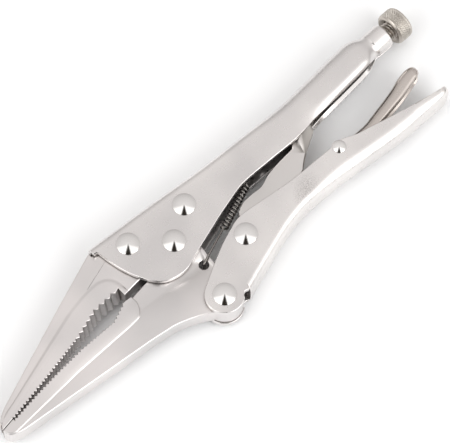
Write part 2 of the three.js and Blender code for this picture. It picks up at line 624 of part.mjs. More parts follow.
/** Knurled knob with a dished front face and a blind bore for the rod; built along +Z. */
function screwKnob() {
  const bore = SCREW_RADIUS + THREAD_GAP;
  const depth = 0.7 * KNOB_LENGTH + 0.3;
  return turned([
    [0, depth], [bore, depth], [bore, 1.2], [KNOB_RADIUS - 1.3, 0], [KNOB_RADIUS - 0.7, 0.1],
    [KNOB_RADIUS, 0.9], [KNOB_RADIUS, KNOB_LENGTH - 1.1], [KNOB_RADIUS - 0.4, KNOB_LENGTH - 0.35],
    [KNOB_RADIUS - 1.2, KNOB_LENGTH], [0, KNOB_LENGTH],
  ], 36);
}

/** Tension spring from the movable jaw's hole to the tab of the upper handle. */
function openingSpring() {
  const lift = WEB_HALF + WIRE_RADIUS + 0.15;
  const level = 1.6;
  const along = SPRING_TAB.clone().sub(SPRING_HOOK).normalize();
  const at = (distance, z) => {
    const p = SPRING_HOOK.clone().addScaledVector(along, distance);
    return new THREE.Vector3(p.x, p.y, z);
  };
  const coilStart = 17.5;
  const coilEnd = 37.5;
  const front = wire([
    at(0, 0.5), at(0.15, lift - 0.6), at(1.6, lift), at(5.5, lift), at(11, 3.0), at(coilStart + 1, level),
  ], WIRE_RADIUS);
  const span = SPRING_TAB.distanceTo(SPRING_HOOK);
  const rear = wire([
    at(coilEnd - 1, level), at(coilEnd + 5, 0.7), at(span - 1.9, 0), at(span + 1.6, 0),
  ], WIRE_RADIUS);
  const coil = turned([
    [0, 0], [SPRING_RADIUS, 0], [SPRING_RADIUS, coilEnd - coilStart], [0, coilEnd - coilStart],
  ], 16);
  coil.rotateX(-Math.PI / 2).rotateZ(along.angle() - Math.PI / 2);
  coil.translate(at(coilStart, level).x, at(coilStart, level).y, level);
  return geometryOf(solid(coil).add(front).add(rear));
}

/** Rivet with a domed head on both sides, along Z and centred on Z = 0. */
function rivet(shank, head, dome, halfGrip) {
  const under = halfGrip + HEAD_GAP;
  const rim = 0.2;
  const domePoints = steps(0, Math.PI / 2, 3).map((a) => [
    head * Math.cos(a), under + rim + (dome - rim) * Math.sin(a),
  ]);
  domePoints[domePoints.length - 1][0] = 0;
  const upper = [[shank, under], [head - 0.15, under], ...domePoints];
  const lower = upper.map(([r, h]) => [r, -h]).reverse();
  return turned([...lower, ...upper], 20);
}

// ---- assembly -----------------------------------------------------------------------------

const PLATED = { color: 0xc9c5c4, metalness: 1.0, roughness: 0.34 };
const FORGED = { color: 0xc4bfbd, metalness: 1.0, roughness: 0.4 };
const POLISHED = { color: 0xe6e4e2, metalness: 1.0, roughness: 0.12 };
const DARK = { color: 0x8c8680, metalness: 1.0, roughness: 0.38 };

/** A named piece with its own finish. */
function piece(name, geometry, finish) {
  const mesh = new THREE.Mesh(geometry, new THREE.MeshStandardMaterial({ ...finish }));
  mesh.name = name;
  return mesh;
}

/** A rivet set at its pivot. */
function rivetAt(name, centre, shank = RIVET_SHANK, head = RIVET_HEAD, dome = RIVET_DOME) {
  const mesh = piece(name, rivet(shank, head, dome, HALF_WIDTH), POLISHED);
  mesh.position.set(centre.x, centre.y, 0);
  return mesh;
}

/** A turned piece laid along the screw's axis, from a distance behind the boss face. */
function onScrewAxis(mesh, distance) {
  const origin = BOSS_FACE.clone().addScaledVector(SCREW_AXIS, distance);
  mesh.position.set(origin.x, origin.y, 0);
  mesh.quaternion.setFromUnitVectors(
    new THREE.Vector3(0, 0, 1), new THREE.Vector3(SCREW_AXIS.x, SCREW_AXIS.y, 0));
  return mesh;
}

const pliers = new THREE.Group();
pliers.add(
  piece('upper_handle', upperHandle(), PLATED),
  piece('fixed_jaw', fixedJaw(), FORGED),
  piece('movable_jaw', movableJaw(), FORGED),
  piece('lower_handle', lowerHandle(), PLATED),
  piece('toggle_link', toggleLink(), PLATED),
  piece('release_lever', releaseLever(), PLATED),
  onScrewAxis(piece('adjusting_screw', adjustingScrew(), DARK), -SCREW_TIP),
  onScrewAxis(piece('screw_knob', screwKnob(), DARK), KNOB_STANDOFF),
  piece('opening_spring', openingSpring(), DARK),
  rivetAt('fixed_jaw_front_rivet', FRONT_RIVET),
  rivetAt('fixed_jaw_rear_rivet', REAR_RIVET),
  rivetAt('jaw_pivot_rivet', JAW_PIVOT),
  rivetAt('handle_pivot_rivet', HANDLE_PIVOT),
  rivetAt('link_rivet', LINK_PIVOT),
  rivetAt('lever_rivet', LEVER_PIVOT, LEVER_PIN, LEVER_PIN_HEAD, LEVER_PIN_DOME),
);

const extent = new THREE.Box3().setFromObject(pliers, true);
pliers.position.set(
  -(extent.min.x + extent.max.x) / 2, -(extent.min.y + extent.max.y) / 2, -extent.min.z);

const tool = new THREE.Group();
tool.add(pliers);

export default tool;
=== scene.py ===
"""Long-nose locking pliers in satin nickel plate, lying on their side on a pale studio floor.

Lengths are millimetres in the tool's own axes until a mesh is made: the origin is the jaw pivot at
mid thickness, +X runs to the knob, +Y to the spine of the upper handle and +Z along the rivets.
"""

import logging
import math
from dataclasses import dataclass, field
from enum import Enum
from typing import Callable, Iterable, Mapping, Sequence

import bmesh
import bpy
from mathutils import Matrix, Vector


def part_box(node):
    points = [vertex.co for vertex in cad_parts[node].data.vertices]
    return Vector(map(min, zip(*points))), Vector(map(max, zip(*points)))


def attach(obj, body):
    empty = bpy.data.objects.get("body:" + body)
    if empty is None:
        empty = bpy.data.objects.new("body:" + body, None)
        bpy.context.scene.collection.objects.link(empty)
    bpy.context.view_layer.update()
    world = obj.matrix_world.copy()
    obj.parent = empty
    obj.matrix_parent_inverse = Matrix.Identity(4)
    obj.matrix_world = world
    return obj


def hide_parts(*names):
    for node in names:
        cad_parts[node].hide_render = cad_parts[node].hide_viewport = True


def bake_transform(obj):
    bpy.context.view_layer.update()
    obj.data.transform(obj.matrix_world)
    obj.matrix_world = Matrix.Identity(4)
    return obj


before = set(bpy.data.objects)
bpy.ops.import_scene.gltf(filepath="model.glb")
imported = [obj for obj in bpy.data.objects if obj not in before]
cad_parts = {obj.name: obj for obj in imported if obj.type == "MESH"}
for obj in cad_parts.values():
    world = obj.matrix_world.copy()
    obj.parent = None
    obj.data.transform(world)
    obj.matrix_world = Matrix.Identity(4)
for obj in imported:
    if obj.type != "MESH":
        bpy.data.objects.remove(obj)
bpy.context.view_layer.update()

log = logging.getLogger("pliers")

MM = 0.001
FULL_TURN = 2 * math.pi
UP = Vector((0, 0, 1))
# Slot 1 of the handles and rivets and slot 2 of the jaws hold a near-black material: painted shade for the
# dark inside of the channels and for faces hidden in the tool.
INSIDE_TAG = 1  # faces on the inner side of a folded sheet
TEETH_TAG = 1  # faces of a jaw's teeth
HIDDEN_TAG = 2  # faces of a jaw that lie inside the tool

Point = tuple[float, float]
Triple = tuple[float, float, float]
Loop = list[Vector]
Stop = tuple[float, Triple]
Row = tuple[float, float | Callable[[float], float]]
Socket = bpy.types.NodeSocket
Feed = Socket | float | Triple | Vector


class Body(Enum):
    """The rigid bodies that the pieces ride on."""

    UPPER = "upper_handle"
    JAW = "movable_jaw"
    LOWER = "lower_handle"
    LINK = "toggle_link"
    LEVER = "release_lever"
    SCREW = "adjusting_screw"
    KNOB = "screw_knob"


class Slot(Enum):
    """The record's material slots."""

    SHEET = "plated_sheet"
    JAW = "forged_jaw"
    LINK = "plated_link"
    LEVER = "plated_lever"
    SCREW = "screw_steel"
    KNOB = "knob_steel"
    SPRING = "spring_wire"
    RIVET = "polished_rivet"


# ---- the tool's frame and sizes -----------------------------------------------------------------


def steps(start: float, end: float, count: int) -> list[float]:
    """Evenly spaced values from start to end, both included.

    Args:
        start: First value.
        end: Last value.
        count: Number of intervals.

    Returns:
        count + 1 values.
    """
    return [start + (end - start) * i / count for i in range(count + 1)]


def smoothstep(value: float, low: float, high: float) -> float:
    """Smooth ramp from 0 at low to 1 at high.

    Args:
        value: Where to read the ramp.
        low: Value at which it leaves 0.
        high: Value at which it reaches 1.

    Returns:
        A number from 0 to 1.
    """
    t = min(1.0, max(0.0, (value - low) / (high - low)))
    return t * t * (3 - 2 * t)


class SmoothLine:
    """A monotone smooth line through points, read as a function of x."""

    def __init__(self, points: Sequence[Point]) -> None:
        """Keeps the points and works out the tangent at each.

        Args:
            points: (x, y) pairs in rising x.
        """
        self.points = list(points)
        pairs = list(zip(self.points, self.points[1:]))
        self.slopes = [(b[1] - a[1]) / (b[0] - a[0]) for a, b in pairs]
        self.tangents = [self.slopes[0]]
        for before, after in zip(self.slopes, self.slopes[1:]):
            product = before * after
            self.tangents.append(2 * product / (before + after) if product > 0 else 0.0)
        self.tangents.append(self.slopes[-1])

    def __call__(self, x: float) -> float:
        """Height of the line at x.

        Args:
            x: Station; outside the points the line runs on straight.

        Returns:
            The y value.
        """
        first, last = self.points[0], self.points[-1]
        if x <= first[0]:
            return first[1] + self.slopes[0] * (x - first[0])
        if x >= last[0]:
            return last[1] + self.slopes[-1] * (x - last[0])
        i = next(k for k, p in enumerate(self.points) if p[0] > x) - 1
        (x0, y0), (x1, y1) = self.points[i], self.points[i + 1]
        t = (x - x0) / (x1 - x0)
        rise = t * t * (3 - 2 * t)
        bow = self.tangents[i] * t * (1 - t) ** 2 - self.tangents[i + 1] * t * t * (1 - t)
        return y0 * (1 - rise) + y1 * rise + (x1 - x0) * bow


@dataclass(frozen=True)
class Tool:
    """The tool's origin and the sizes that several sub-assemblies share, read from the frame."""

    origin: Vector
    half_width: float
    web_half: float
    nose_half: float
    nose_reach: float
    boss_reach: float
    lower_reach: float
    lever_reach: float
    sheet: float = 2.0
    screw_radius: float = 3.75
    screw_tilt: float = math.radians(7.2)
    bore_radius: float = 4.0
    boss_wall: float = 1.4
    spring_hook: Vector = field(default_factory=lambda: Vector((3.5, -13.9, 0)))
    spring_tab: Vector = field(default_factory=lambda: Vector((48.0, 9.6, 0)))

    @classmethod
    def from_frame(cls) -> "Tool":
        """Reads the shared sizes from the boxes of the CAD nodes.

        Returns:
            The tool with its origin at the jaw pivot.
        """
        low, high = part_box("jaw_pivot_rivet")
        origin = (Vector(low) + Vector(high)) / 2

        def half_thickness(node: str) -> float:
            """Half the Z size of a node in millimetres."""
            below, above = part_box(node)
            return (above[2] - below[2]) / 2 / MM

        def reach(node: str, rear: bool = True) -> float:
            """Distance along X from the jaw pivot to one end of a node in millimetres."""
            return abs(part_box(node)[int(rear)][0] - origin.x) / MM

        return cls(
            origin=origin,
            half_width=half_thickness("upper_handle"),
            web_half=half_thickness("toggle_link"),
            nose_half=half_thickness("fixed_jaw"),
            nose_reach=reach("fixed_jaw", rear=False),
            boss_reach=reach("upper_handle"),
            lower_reach=reach("lower_handle"),
            lever_reach=reach("release_lever"),
        )

    @property
    def wall_in(self) -> float:
        """Half the space between a handle's walls."""
        return self.half_width - self.sheet

    @property
    def boss_radius(self) -> float:
        """Outer radius of the threaded boss."""
        return self.bore_radius + self.boss_wall

    @property
    def fold_radius(self) -> float:
        """Outer radius of the handles' folds."""
        return 1.6 * self.sheet

    @property
    def screw_axis(self) -> Vector:
        """Direction of the screw, towards the knob."""
        return Vector((math.cos(self.screw_tilt), math.sin(self.screw_tilt), 0))

    @property
    def boss_face(self) -> Vector:
        """Where the screw's axis leaves the boss."""
        return Vector((self.boss_reach, 23.5, 0))

    def screw_axis_y(self, x: float) -> float:
        """Height of the screw's axis at a station along X."""
        return self.boss_face.y + (x - self.boss_face.x) * math.tan(self.screw_tilt)

    def place(self, point: Vector) -> Vector:
        """A point of the tool in the row frame, in metres."""
        return self.origin + Vector(point) * MM

    def pivot(self, rivet: str) -> Vector:
        """Centre of a rivet in the tool's axes.

        Args:
            rivet: The rivet's CAD node.

        Returns:
            The point at mid thickness.
        """
        low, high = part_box(rivet)
        centre = ((Vector(low) + Vector(high)) / 2 - self.origin) / MM
        return Vector((centre.x, centre.y, 0))


# ---- mesh making --------------------------------------------------------------------------------


@dataclass
class MeshMaker:
    """Collects points and faces in the tool's millimetres and turns them into a piece."""

    tool: Tool
    points: Loop = field(default_factory=list)
    faces: list[tuple[int, ...]] = field(default_factory=list)
    tags: list[int] = field(default_factory=list)

    def face(self, *corners: int, tag: int = 0) -> None:
        """Adds one face with the number of its material slot."""
        self.faces.append(corners)
        self.tags.append(tag)

    def skin(self, loops: Sequence[Loop], caps: bool = True, tag: int = 0) -> int:
        """Joins closed loops of equal length by quads.

        Args:
            loops: The loops in order.
            caps: Whether the first and last loops are filled.
            tag: Material slot of the faces.

        Returns:
            The index of the first point that was added.
        """
        first = len(self.points)
        count = len(loops[0])
        for loop in loops:
            self.points.extend(Vector(p) for p in loop)
        for row in range(len(loops) - 1):
            for j in range(count):
                a = first + row * count + j
                b = first + row * count + (j + 1) % count
                self.face(a, b, b + count, a + count, tag=tag)
        if caps:
            last = first + (len(loops) - 1) * count
            self.face(*reversed(range(first, first + count)), tag=tag)
            self.face(*range(last, last + count), tag=tag)
        return first

    def piece(self, name: str, sharp_angle: float = 38.0) -> bpy.types.Object:
        """Makes the mesh object, with outward faces and smooth shading between sharp edges.

        Args:
            name: The piece's name.
            sharp_angle: Edges above this many degrees stay sharp.

        Returns:
            The new object, linked to the scene.
        """
        mesh = bpy.data.meshes.new(name)
        mesh.from_pydata([self.tool.place(p) for p in self.points], [], self.faces)
        mesh.polygons.foreach_set("material_index", self.tags)
        work = bmesh.new()
        work.from_mesh(mesh)
        bmesh.ops.remove_doubles(work, verts=work.verts, dist=1e-7)
        bmesh.ops.recalc_face_normals(work, faces=work.faces)
        work.to_mesh(mesh)
        work.free()
        mesh.polygons.foreach_set("use_smooth", [True] * len(mesh.polygons))
        mesh.set_sharp_from_angle(angle=math.radians(sharp_angle))
        piece = bpy.data.objects.new(name, mesh)
        bpy.context.scene.collection.objects.link(piece)
        return piece


def flat(*points: Point) -> Loop:
    """Points of the XY plane at mid thickness."""
    return [Vector((x, y, 0)) for x, y in points]


def ring(
    centre: Vector, across: Vector, beside: Vector, radius: float | Callable[[float], float], sides: int
) -> Loop:
    """One closed loop round a centre.

    Args:
        centre: Its centre.
        across: Unit vector at angle 0.
        beside: Unit vector at a quarter turn.
        radius: The radius, or what gives it at an angle.
        sides: Number of points.

    Returns:
        The points in order.
    """
    radius_at = radius if callable(radius) else lambda _: radius
    return [
        centre + radius_at(a) * (across * math.cos(a) + beside * math.sin(a))
        for a in steps(0, FULL_TURN, sides)[:-1]]


def arc(centre: Vector, radius: float, start: float, end: float, count: int) -> Loop:
    """Points on an arc in the XY plane.

    Args:
        centre: Centre of the arc.
        radius: Its radius.
        start: First angle in radians.
        end: Last angle in radians; the arc turns whichever way leads there.
        count: Number of chords.

    Returns:
        count + 1 points.
    """
    return [centre + radius * Vector((math.cos(a), math.sin(a), 0)) for a in steps(start, end, count)]


def curve(start: Point, control: Point, end: Point, count: int = 12) -> Loop:
    """Points of a quadratic curve after its start.

    Args:
        start: Where the curve comes from; not repeated in the result.
        control: Its control point.
        end: Its last point.
        count: Number of chords.

    Returns:
        count points, the last one at the end.
    """
    a, b, c = flat(start, control, end)
    return [a * (1 - t) ** 2 + 2 * b * t * (1 - t) + c * t * t for t in steps(0, 1, count)[1:]]


def signed_area(outline: Sequence[Vector]) -> float:
    """Area of an outline in XY, positive when it runs anticlockwise."""
    pairs = zip(outline, [*outline[1:], outline[0]])
    return sum(a.x * b.y - b.x * a.y for a, b in pairs) / 2


def inset(outline: Sequence[Vector], distance: float) -> Loop:
    """An outline moved inward by a small distance, with mitred corners.

    Args:
        outline: Closed outline in XY, either way round.
        distance: How far every edge moves inward.

    Returns:
        As many points as the outline has.
    """
    inward = 1 if signed_area(outline) > 0 else -1
    moved = []
    for i, point in enumerate(outline):
        before = (point - outline[i - 1]).normalized()
        after = (outline[(i + 1) % len(outline)] - point).normalized()
        normal_a = Vector((-before.y, before.x, 0)) * inward
        normal_b = Vector((-after.y, after.x, 0)) * inward
        mitre = normal_a + normal_b
        scale = 2 / max(0.5, mitre.length_squared)
        moved.append(point + mitre * scale * distance)
    return moved


def cleaned(outline: Sequence[Vector], nearest: float = 0.02) -> Loop:
    """An outline without points that lie on the one before.

    Args:
        outline: Closed outline.
        nearest: Points nearer than this count as one.

    Returns:
        The points that are kept.
    """
    kept: Loop = []
    for point in outline:
        if not kept or (point - kept[-1]).length > nearest:
            kept.append(Vector(point))
    return kept if (kept[0] - kept[-1]).length > nearest else kept[:-1]


def mirrored(loops: Sequence[Loop]) -> list[Loop]:
    """The loops of the other half, below mid thickness, in the order that goes on from the first."""
    return [[Vector((p.x, p.y, -p.z)) for p in loop] for loop in reversed(loops)]


def rounded_plate(
    maker: MeshMaker, outline: Sequence[Vector], half: float, radius: float, facets: int = 4
) -> None:
    """Adds a plate centred on Z = 0 whose rims are rounded over.

    Args:
        maker: Collects the mesh.
        outline: Closed outline in XY.
        half: Half the plate's thickness.
        radius: Radius of the rounded rims.
        facets: Facets across each rounded rim.
    """
    outline = cleaned(outline)
    loops = []
    for a in steps(math.pi / 2, 0, facets):
        shrunk = inset(outline, radius * (1 - math.cos(a)))
        loops.append([p + Vector((0, 0, half - radius + radius * math.sin(a))) for p in shrunk])
    maker.skin(loops + mirrored(loops))


def lathe(
    maker: MeshMaker, profile: Sequence[Point], origin: Vector, axis: Vector, sides: int = 64, tag: int = 0
) -> None:
    """Adds a turned body.

    Args:
        maker: Collects the mesh.
        profile: (radius, height) points; the ends lie on the axis or are capped flat.
        origin: Where height 0 is.
        axis: Unit vector of the turning axis.
        sides: Number of sides.
        tag: Material slot of the faces.
    """
    least = 0.004
    across = axis.orthogonal().normalized()
    beside = axis.cross(across)
    loops = [ring(origin + axis * h, across, beside, max(r, least), sides) for r, h in profile]
    maker.skin(loops, tag=tag)


def sweep(maker: MeshMaker, path: Sequence[Vector], radius: float, sides: int = 12) -> None:
    """Adds a round wire along a path, with a frame that doesn't twist.

    Args:
        maker: Collects the mesh.
        path: Points along the wire.
        radius: Radius of the wire.
        sides: Number of sides.
    """
    loops = []
    across = (path[1] - path[0]).orthogonal().normalized()
    for i, point in enumerate(path):
        way = (path[min(i + 1, len(path) - 1)] - path[max(i - 1, 0)]).normalized()
        across = (across - way * across.dot(way)).normalized()
        loops.append(ring(point, across, way.cross(across), radius, sides))
    maker.skin(loops)


def bezier_run(points: Sequence[Vector], count: int = 10) -> Loop:
    """A smooth run through points, each stretch a Catmull-Rom curve.

    Args:
        points: The points that the run passes.
        count: Number of chords in each stretch.

    Returns:
        The points of the run, with its first and last one.
    """
    padded = [2 * points[0] - points[1], *points, 2 * points[-1] - points[-2]]
    run = [Vector(points[0])]
    for p0, p1, p2, p3 in zip(padded, padded[1:], padded[2:], padded[3:]):
        for t in steps(0, 1, count)[1:]:
            run.append(0.5 * (
                2 * p1 + (p2 - p0) * t + (2 * p0 - 5 * p1 + 4 * p2 - p3) * t * t
                + (3 * p1 - 3 * p2 + p3 - p0) * t ** 3))
    return run


def cut(piece: bpy.types.Object, cutter: bpy.types.Object) -> None:
    """Takes one mesh out of another and removes the cutter.

    Args:
        piece: The piece that is cut.
        cutter: The mesh that is taken away.
    """
    modifier = piece.modifiers.new("cut", "BOOLEAN")
    modifier.operation = "DIFFERENCE"
    modifier.solver = "EXACT"
    modifier.object = cutter
    settle(piece)
    bpy.data.objects.remove(cutter)


def settle(piece: bpy.types.Object) -> None:
    """Applies a piece's modifiers to its mesh.

    Args:
        piece: The piece; it has no modifiers afterwards.
    """
    bpy.context.view_layer.update()
    shown = piece.evaluated_get(bpy.context.evaluated_depsgraph_get())
    mesh = bpy.data.meshes.new_from_object(shown)
    piece.modifiers.clear()
    piece.data = mesh


def ease_edges(piece: bpy.types.Object, width: float, angle: float = 42.0) -> None:
    """Rounds the sharp edges of a pressing and evens the shading beside them.

    Args:
        piece: The piece.
        width: Width of the rounding in millimetres.
        angle: Edges above this many degrees are rounded.
    """
    bevel = piece.modifiers.new("ease", "BEVEL")
    bevel.width = width * MM
    bevel.segments = 3
    bevel.limit_method = "ANGLE"
    bevel.angle_limit = math.radians(angle)
    bevel.use_clamp_overlap = False
    weighted = piece.modifiers.new("even", "WEIGHTED_NORMAL")
    weighted.keep_sharp = True
    settle(piece)


def prism(tool: Tool, outline: Sequence[Point], low: float, high: float) -> bpy.types.Object:
    """A cutter that stands straight on an outline.

    Args:
        tool: The tool's frame.
        outline: Its corners in XY.
        low: Where it starts along Z.
        high: Where it ends.

    Returns:
        The cutter object.
    """
    maker = MeshMaker(tool)
    maker.skin([[Vector((x, y, z)) for x, y in outline] for z in (low, high)])
    return maker.piece("cutter")


def flared_hole(
    tool: Tool, centre: Vector, radius: float, half: float, flare: float, tag: int
) -> bpy.types.Object:
    """A cutter for a hole whose mouths are eased.

    Args:
        tool: The tool's frame.
        centre: Centre of the hole in XY.
        radius: Radius of the hole.
        half: Half the thickness that it goes through.
        flare: Size of the chamfer at each mouth.
        tag: Material slot of the hole's wall.

    Returns:
        The cutter object.
    """
    maker = MeshMaker(tool)
    upper = [(radius, half - flare), (radius + flare, half), (radius + 3 * flare, half + 2 * flare)]
    profile = [(r, -h) for r, h in reversed(upper)] + upper
    lathe(maker, profile, centre, UP, sides=48, tag=tag)
    return maker.piece("cutter")


# ---- finishes -----------------------------------------------------------------------------------


class Nodes:
    """Short hands for wiring a material's nodes."""

    def __init__(self, tree: bpy.types.NodeTree) -> None:
        """Starts from a tree that holds its shader already.

        Args:
            tree: The material's or the world's tree.
        """
        self.tree = tree
        self.shader = next((n for n in tree.nodes if n.type == "BSDF_PRINCIPLED"), None)
        coordinates = tree.nodes.new("ShaderNodeTexCoord")
        self.place = coordinates.outputs["Object"]
        self.heading = coordinates.outputs["Generated"]

    @classmethod
    def of_material(cls, name: str) -> tuple[bpy.types.Material, "Nodes"]:
        """A new material and the hands on its nodes.

        Args:
            name: Name of the material.

        Returns:
            The material and its nodes.
        """
        material = bpy.data.materials.new(name)
        material.use_nodes = True
        return material, cls(material.node_tree)

    def link(self, source: Socket, target: Socket) -> None:
        """Connects an output to an input."""
        self.tree.links.new(source, target)

    def add(
        self, kind: str, inputs: Mapping[str | int, Feed], output: str | int, operation: str = "",
        samples: int = 0
    ) -> Socket:
        """Adds one node and feeds it.

        Args:
            kind: Its type, without the beginning that all types share.
            inputs: What goes in: a socket is linked, anything else is the input's value.
            output: The output that is wanted.
            operation: Its operation, where it has one.
            samples: Its samples, where it has them.

        Returns:
            The socket of that output.
        """
        node = self.tree.nodes.new(f"ShaderNode{kind}")
        if operation:
            node.operation = operation
        if samples:
            node.samples = samples
        for key, value in inputs.items():
            if isinstance(value, Socket):
                self.link(value, node.inputs[key])
            else:
                node.inputs[key].default_value = value
        return node.outputs[output]

    def along(self, direction: Vector) -> Socket:
        """How far the world's directions point along a unit vector, from -1 to 1."""
        return self.add("VectorMath", {0: self.heading, 1: direction}, "Value", operation="DOT_PRODUCT")

    def noise(self, scale: float, detail: float = 3.0, stretch: Triple = (1, 1, 1)) -> Socket:
        """Noise with a scale in features per metre, stretched by axis."""
        place = self.add("Mapping", {"Vector": self.place, "Scale": stretch}, "Vector")
        return self.add("TexNoise", {"Vector": place, "Scale": scale, "Detail": detail}, "Fac")

    def ranged(self, value: Socket, source: Point, target: Point) -> Socket:
        """A value mapped from one range to another and clamped."""
        bounds = dict(zip(("From Min", "From Max", "To Min", "To Max"), (*source, *target)))
        return self.add("MapRange", {"Value": value, **bounds}, "Result")

    def maths(self, operation: str, a: Socket, b: Socket | float = 0.0) -> Socket:
        """One arithmetic step; b is left out where the operation takes one number."""
        return self.add("Math", {0: a, 1: b}, 0, operation=operation)

    def ramp(self, value: Socket, stops: Sequence[Stop]) -> Socket:
        """A colour ramp.

        Args:
            value: Socket of the place on the ramp.
            stops: Its first and last stop, and then the ones between.

        Returns:
            Socket of the colour.
        """
        node = self.tree.nodes.new("ShaderNodeValToRGB")
        band = node.color_ramp
        for position, _ in stops[2:]:
            band.elements.new(position)
        for element, (position, colour) in zip(band.elements, sorted(stops)):
            element.position = position
            element.color = (*colour, 1)
        self.link(value, node.inputs["Fac"])
        return node.outputs["Color"]

    def mixed(self, factor: Socket, a: Socket, b: Socket | Triple) -> Socket:
        """A colour drawn towards another.

        Args:
            factor: Socket of the share of the second colour.
            a: Socket of the first colour.
            b: The second colour or its socket.

        Returns:
            Socket of the mixed colour.
        """
        node = self.tree.nodes.new("ShaderNodeMix")
        node.data_type = "RGBA"
        ends = {i.identifier: i for i in node.inputs}
        self.link(factor, node.inputs["Factor"])
        self.link(a, ends["A_Color"])
        if isinstance(b, tuple):
            ends["B_Color"].default_value = (*b, 1)
        else:
            self.link(b, ends["B_Color"])
        return next(o for o in node.outputs if o.identifier == "Result_Color")

    def occlusion(self, reach: float) -> Socket:
        """Openness of the surface, low in creases within a reach in millimetres."""
        return self.add("AmbientOcclusion", {"Distance": reach * MM}, "AO", samples=6)

    def roundness(self, radius: float) -> Socket:
        """How even the surface is near a point.

        Args:
            radius: How far an edge is felt, in millimetres.

        Returns:
            Socket of a value that is 1 on even faces and lower near an edge.
        """
        eased = self.add("Bevel", {"Radius": radius * MM}, "Normal", samples=6)
        plain = self.add("NewGeometry", {}, "True Normal")
        return self.add("VectorMath", {0: eased, 1: plain}, "Value", operation="DOT_PRODUCT")

    def bump(self, height: Socket, strength: float, depth: float) -> None:
        """Feeds a height to the shader's normal, with a depth in millimetres."""
        inputs = {"Height": height, "Strength": strength, "Distance": depth * MM}
        self.link(self.add("Bump", inputs, "Normal"), self.shader.inputs["Normal"])


@dataclass(frozen=True)
class Plating:
    """Nickel plate over steel: mottled tone, cloudy gloss and a fine grain, with painted shade in creases and
    a painted highlight on edges.
    """

    name: str
    light: Triple
    dark: Triple
    roughness: float
    roughness_spread: float = 0.05
    grain_scale: float = 2600.0
    grain_stretch: Triple = (1.0, 1.0, 1.0)
    grain_depth: float = 0.006
    cloud_scale: float = 30.0
    crease_reach: float = 1.4
    # Painted shade: how strongly creases found by ambient occlusion are darkened.
    crease_shade_strength: float = 0.7
    edge_radius: float = 0.3
    # Painted highlight: how strongly edges found by the bevel node are lightened.
    edge_highlight: float = 0.55
    # Colour that the painted shade in creases darkens towards.
    crease_shade_colour: Triple = (0.13, 0.10, 0.085)
    # Colour of the painted highlight on edges.
    edge_highlight_colour: Triple = (0.97, 0.94, 0.88)

    def build(self) -> bpy.types.Material:
        """Makes the material.

        Returns:
            The material with all its nodes.
        """
        material, nodes = Nodes.of_material(self.name)
        nodes.shader.inputs["Metallic"].default_value = 1.0
        clouds = nodes.noise(self.cloud_scale, detail=2.0)
        tint = tuple(0.5 * (a + b) for a, b in zip(self.light, self.dark))
        colour = nodes.ramp(clouds, [(0.36, self.dark), (0.64, self.light), (0.5, tint)])
        # Painted shade: creases found by ambient occlusion are darkened.
        crease_shade = nodes.ranged(nodes.occlusion(self.crease_reach), (0.30, 0.85), (self.crease_shade_strength, 0.0))
        colour = nodes.mixed(crease_shade, colour, self.crease_shade_colour)
        # Painted highlight: edges found by the bevel node are lightened.
        rim = nodes.ranged(nodes.roundness(self.edge_radius), (0.80, 0.995), (self.edge_highlight, 0.0))
        colour = nodes.mixed(rim, colour, self.edge_highlight_colour)
        nodes.link(colour, nodes.shader.inputs["Base Color"])
        haze = nodes.noise(12 * self.cloud_scale, detail=4.0)
        low, high = self.roughness - self.roughness_spread, self.roughness + self.roughness_spread
        nodes.link(nodes.ranged(haze, (0.3, 0.7), (low, high)), nodes.shader.inputs["Roughness"])
        grain = nodes.noise(self.grain_scale, detail=2.0, stretch=self.grain_stretch)
        nodes.bump(grain, 0.5, self.grain_depth)
        self.dress_more(nodes, colour)
        return material

    def dress_more(self, nodes: Nodes, colour: Socket) -> None:
        """A place for a finish that adds a mark of its own; plain plating has none."""


@dataclass(frozen=True)
class PatchedPlating(Plating):
    """Plating with a patch where the pressed sheet's rough grain shows through."""

    patch_centre: Triple = (0, 0, 0)
    patch_size: Triple = (0.008, 0.005, 0.003)
    patch_turn: float = math.radians(38)
    speck: Triple = (0.10, 0.09, 0.08)

    def dress_more(self, nodes: Nodes, colour: Socket) -> None:
        """Darkens specks inside the patch.

        Args:
            nodes: The material's nodes.
            colour: Socket of the plating's colour.
        """
        shift = nodes.tree.nodes.new("ShaderNodeMapping")
        shift.vector_type = "TEXTURE"
        shift.inputs["Location"].default_value = self.patch_centre
        shift.inputs["Rotation"].default_value = (0, 0, self.patch_turn)
        shift.inputs["Scale"].default_value = self.patch_size
        nodes.link(nodes.place, shift.inputs["Vector"])
        size = nodes.add("VectorMath", {0: shift.outputs["Vector"]}, "Value", operation="LENGTH")
        inside = nodes.ranged(size, (0.1, 1.1), (1.0, 0.0))
        specks = nodes.ranged(nodes.noise(3000.0, detail=2.0), (0.42, 0.66), (0.0, 0.62))
        amount = nodes.maths("MULTIPLY", specks, inside)
        nodes.link(nodes.mixed(amount, colour, self.speck), nodes.shader.inputs["Base Color"])


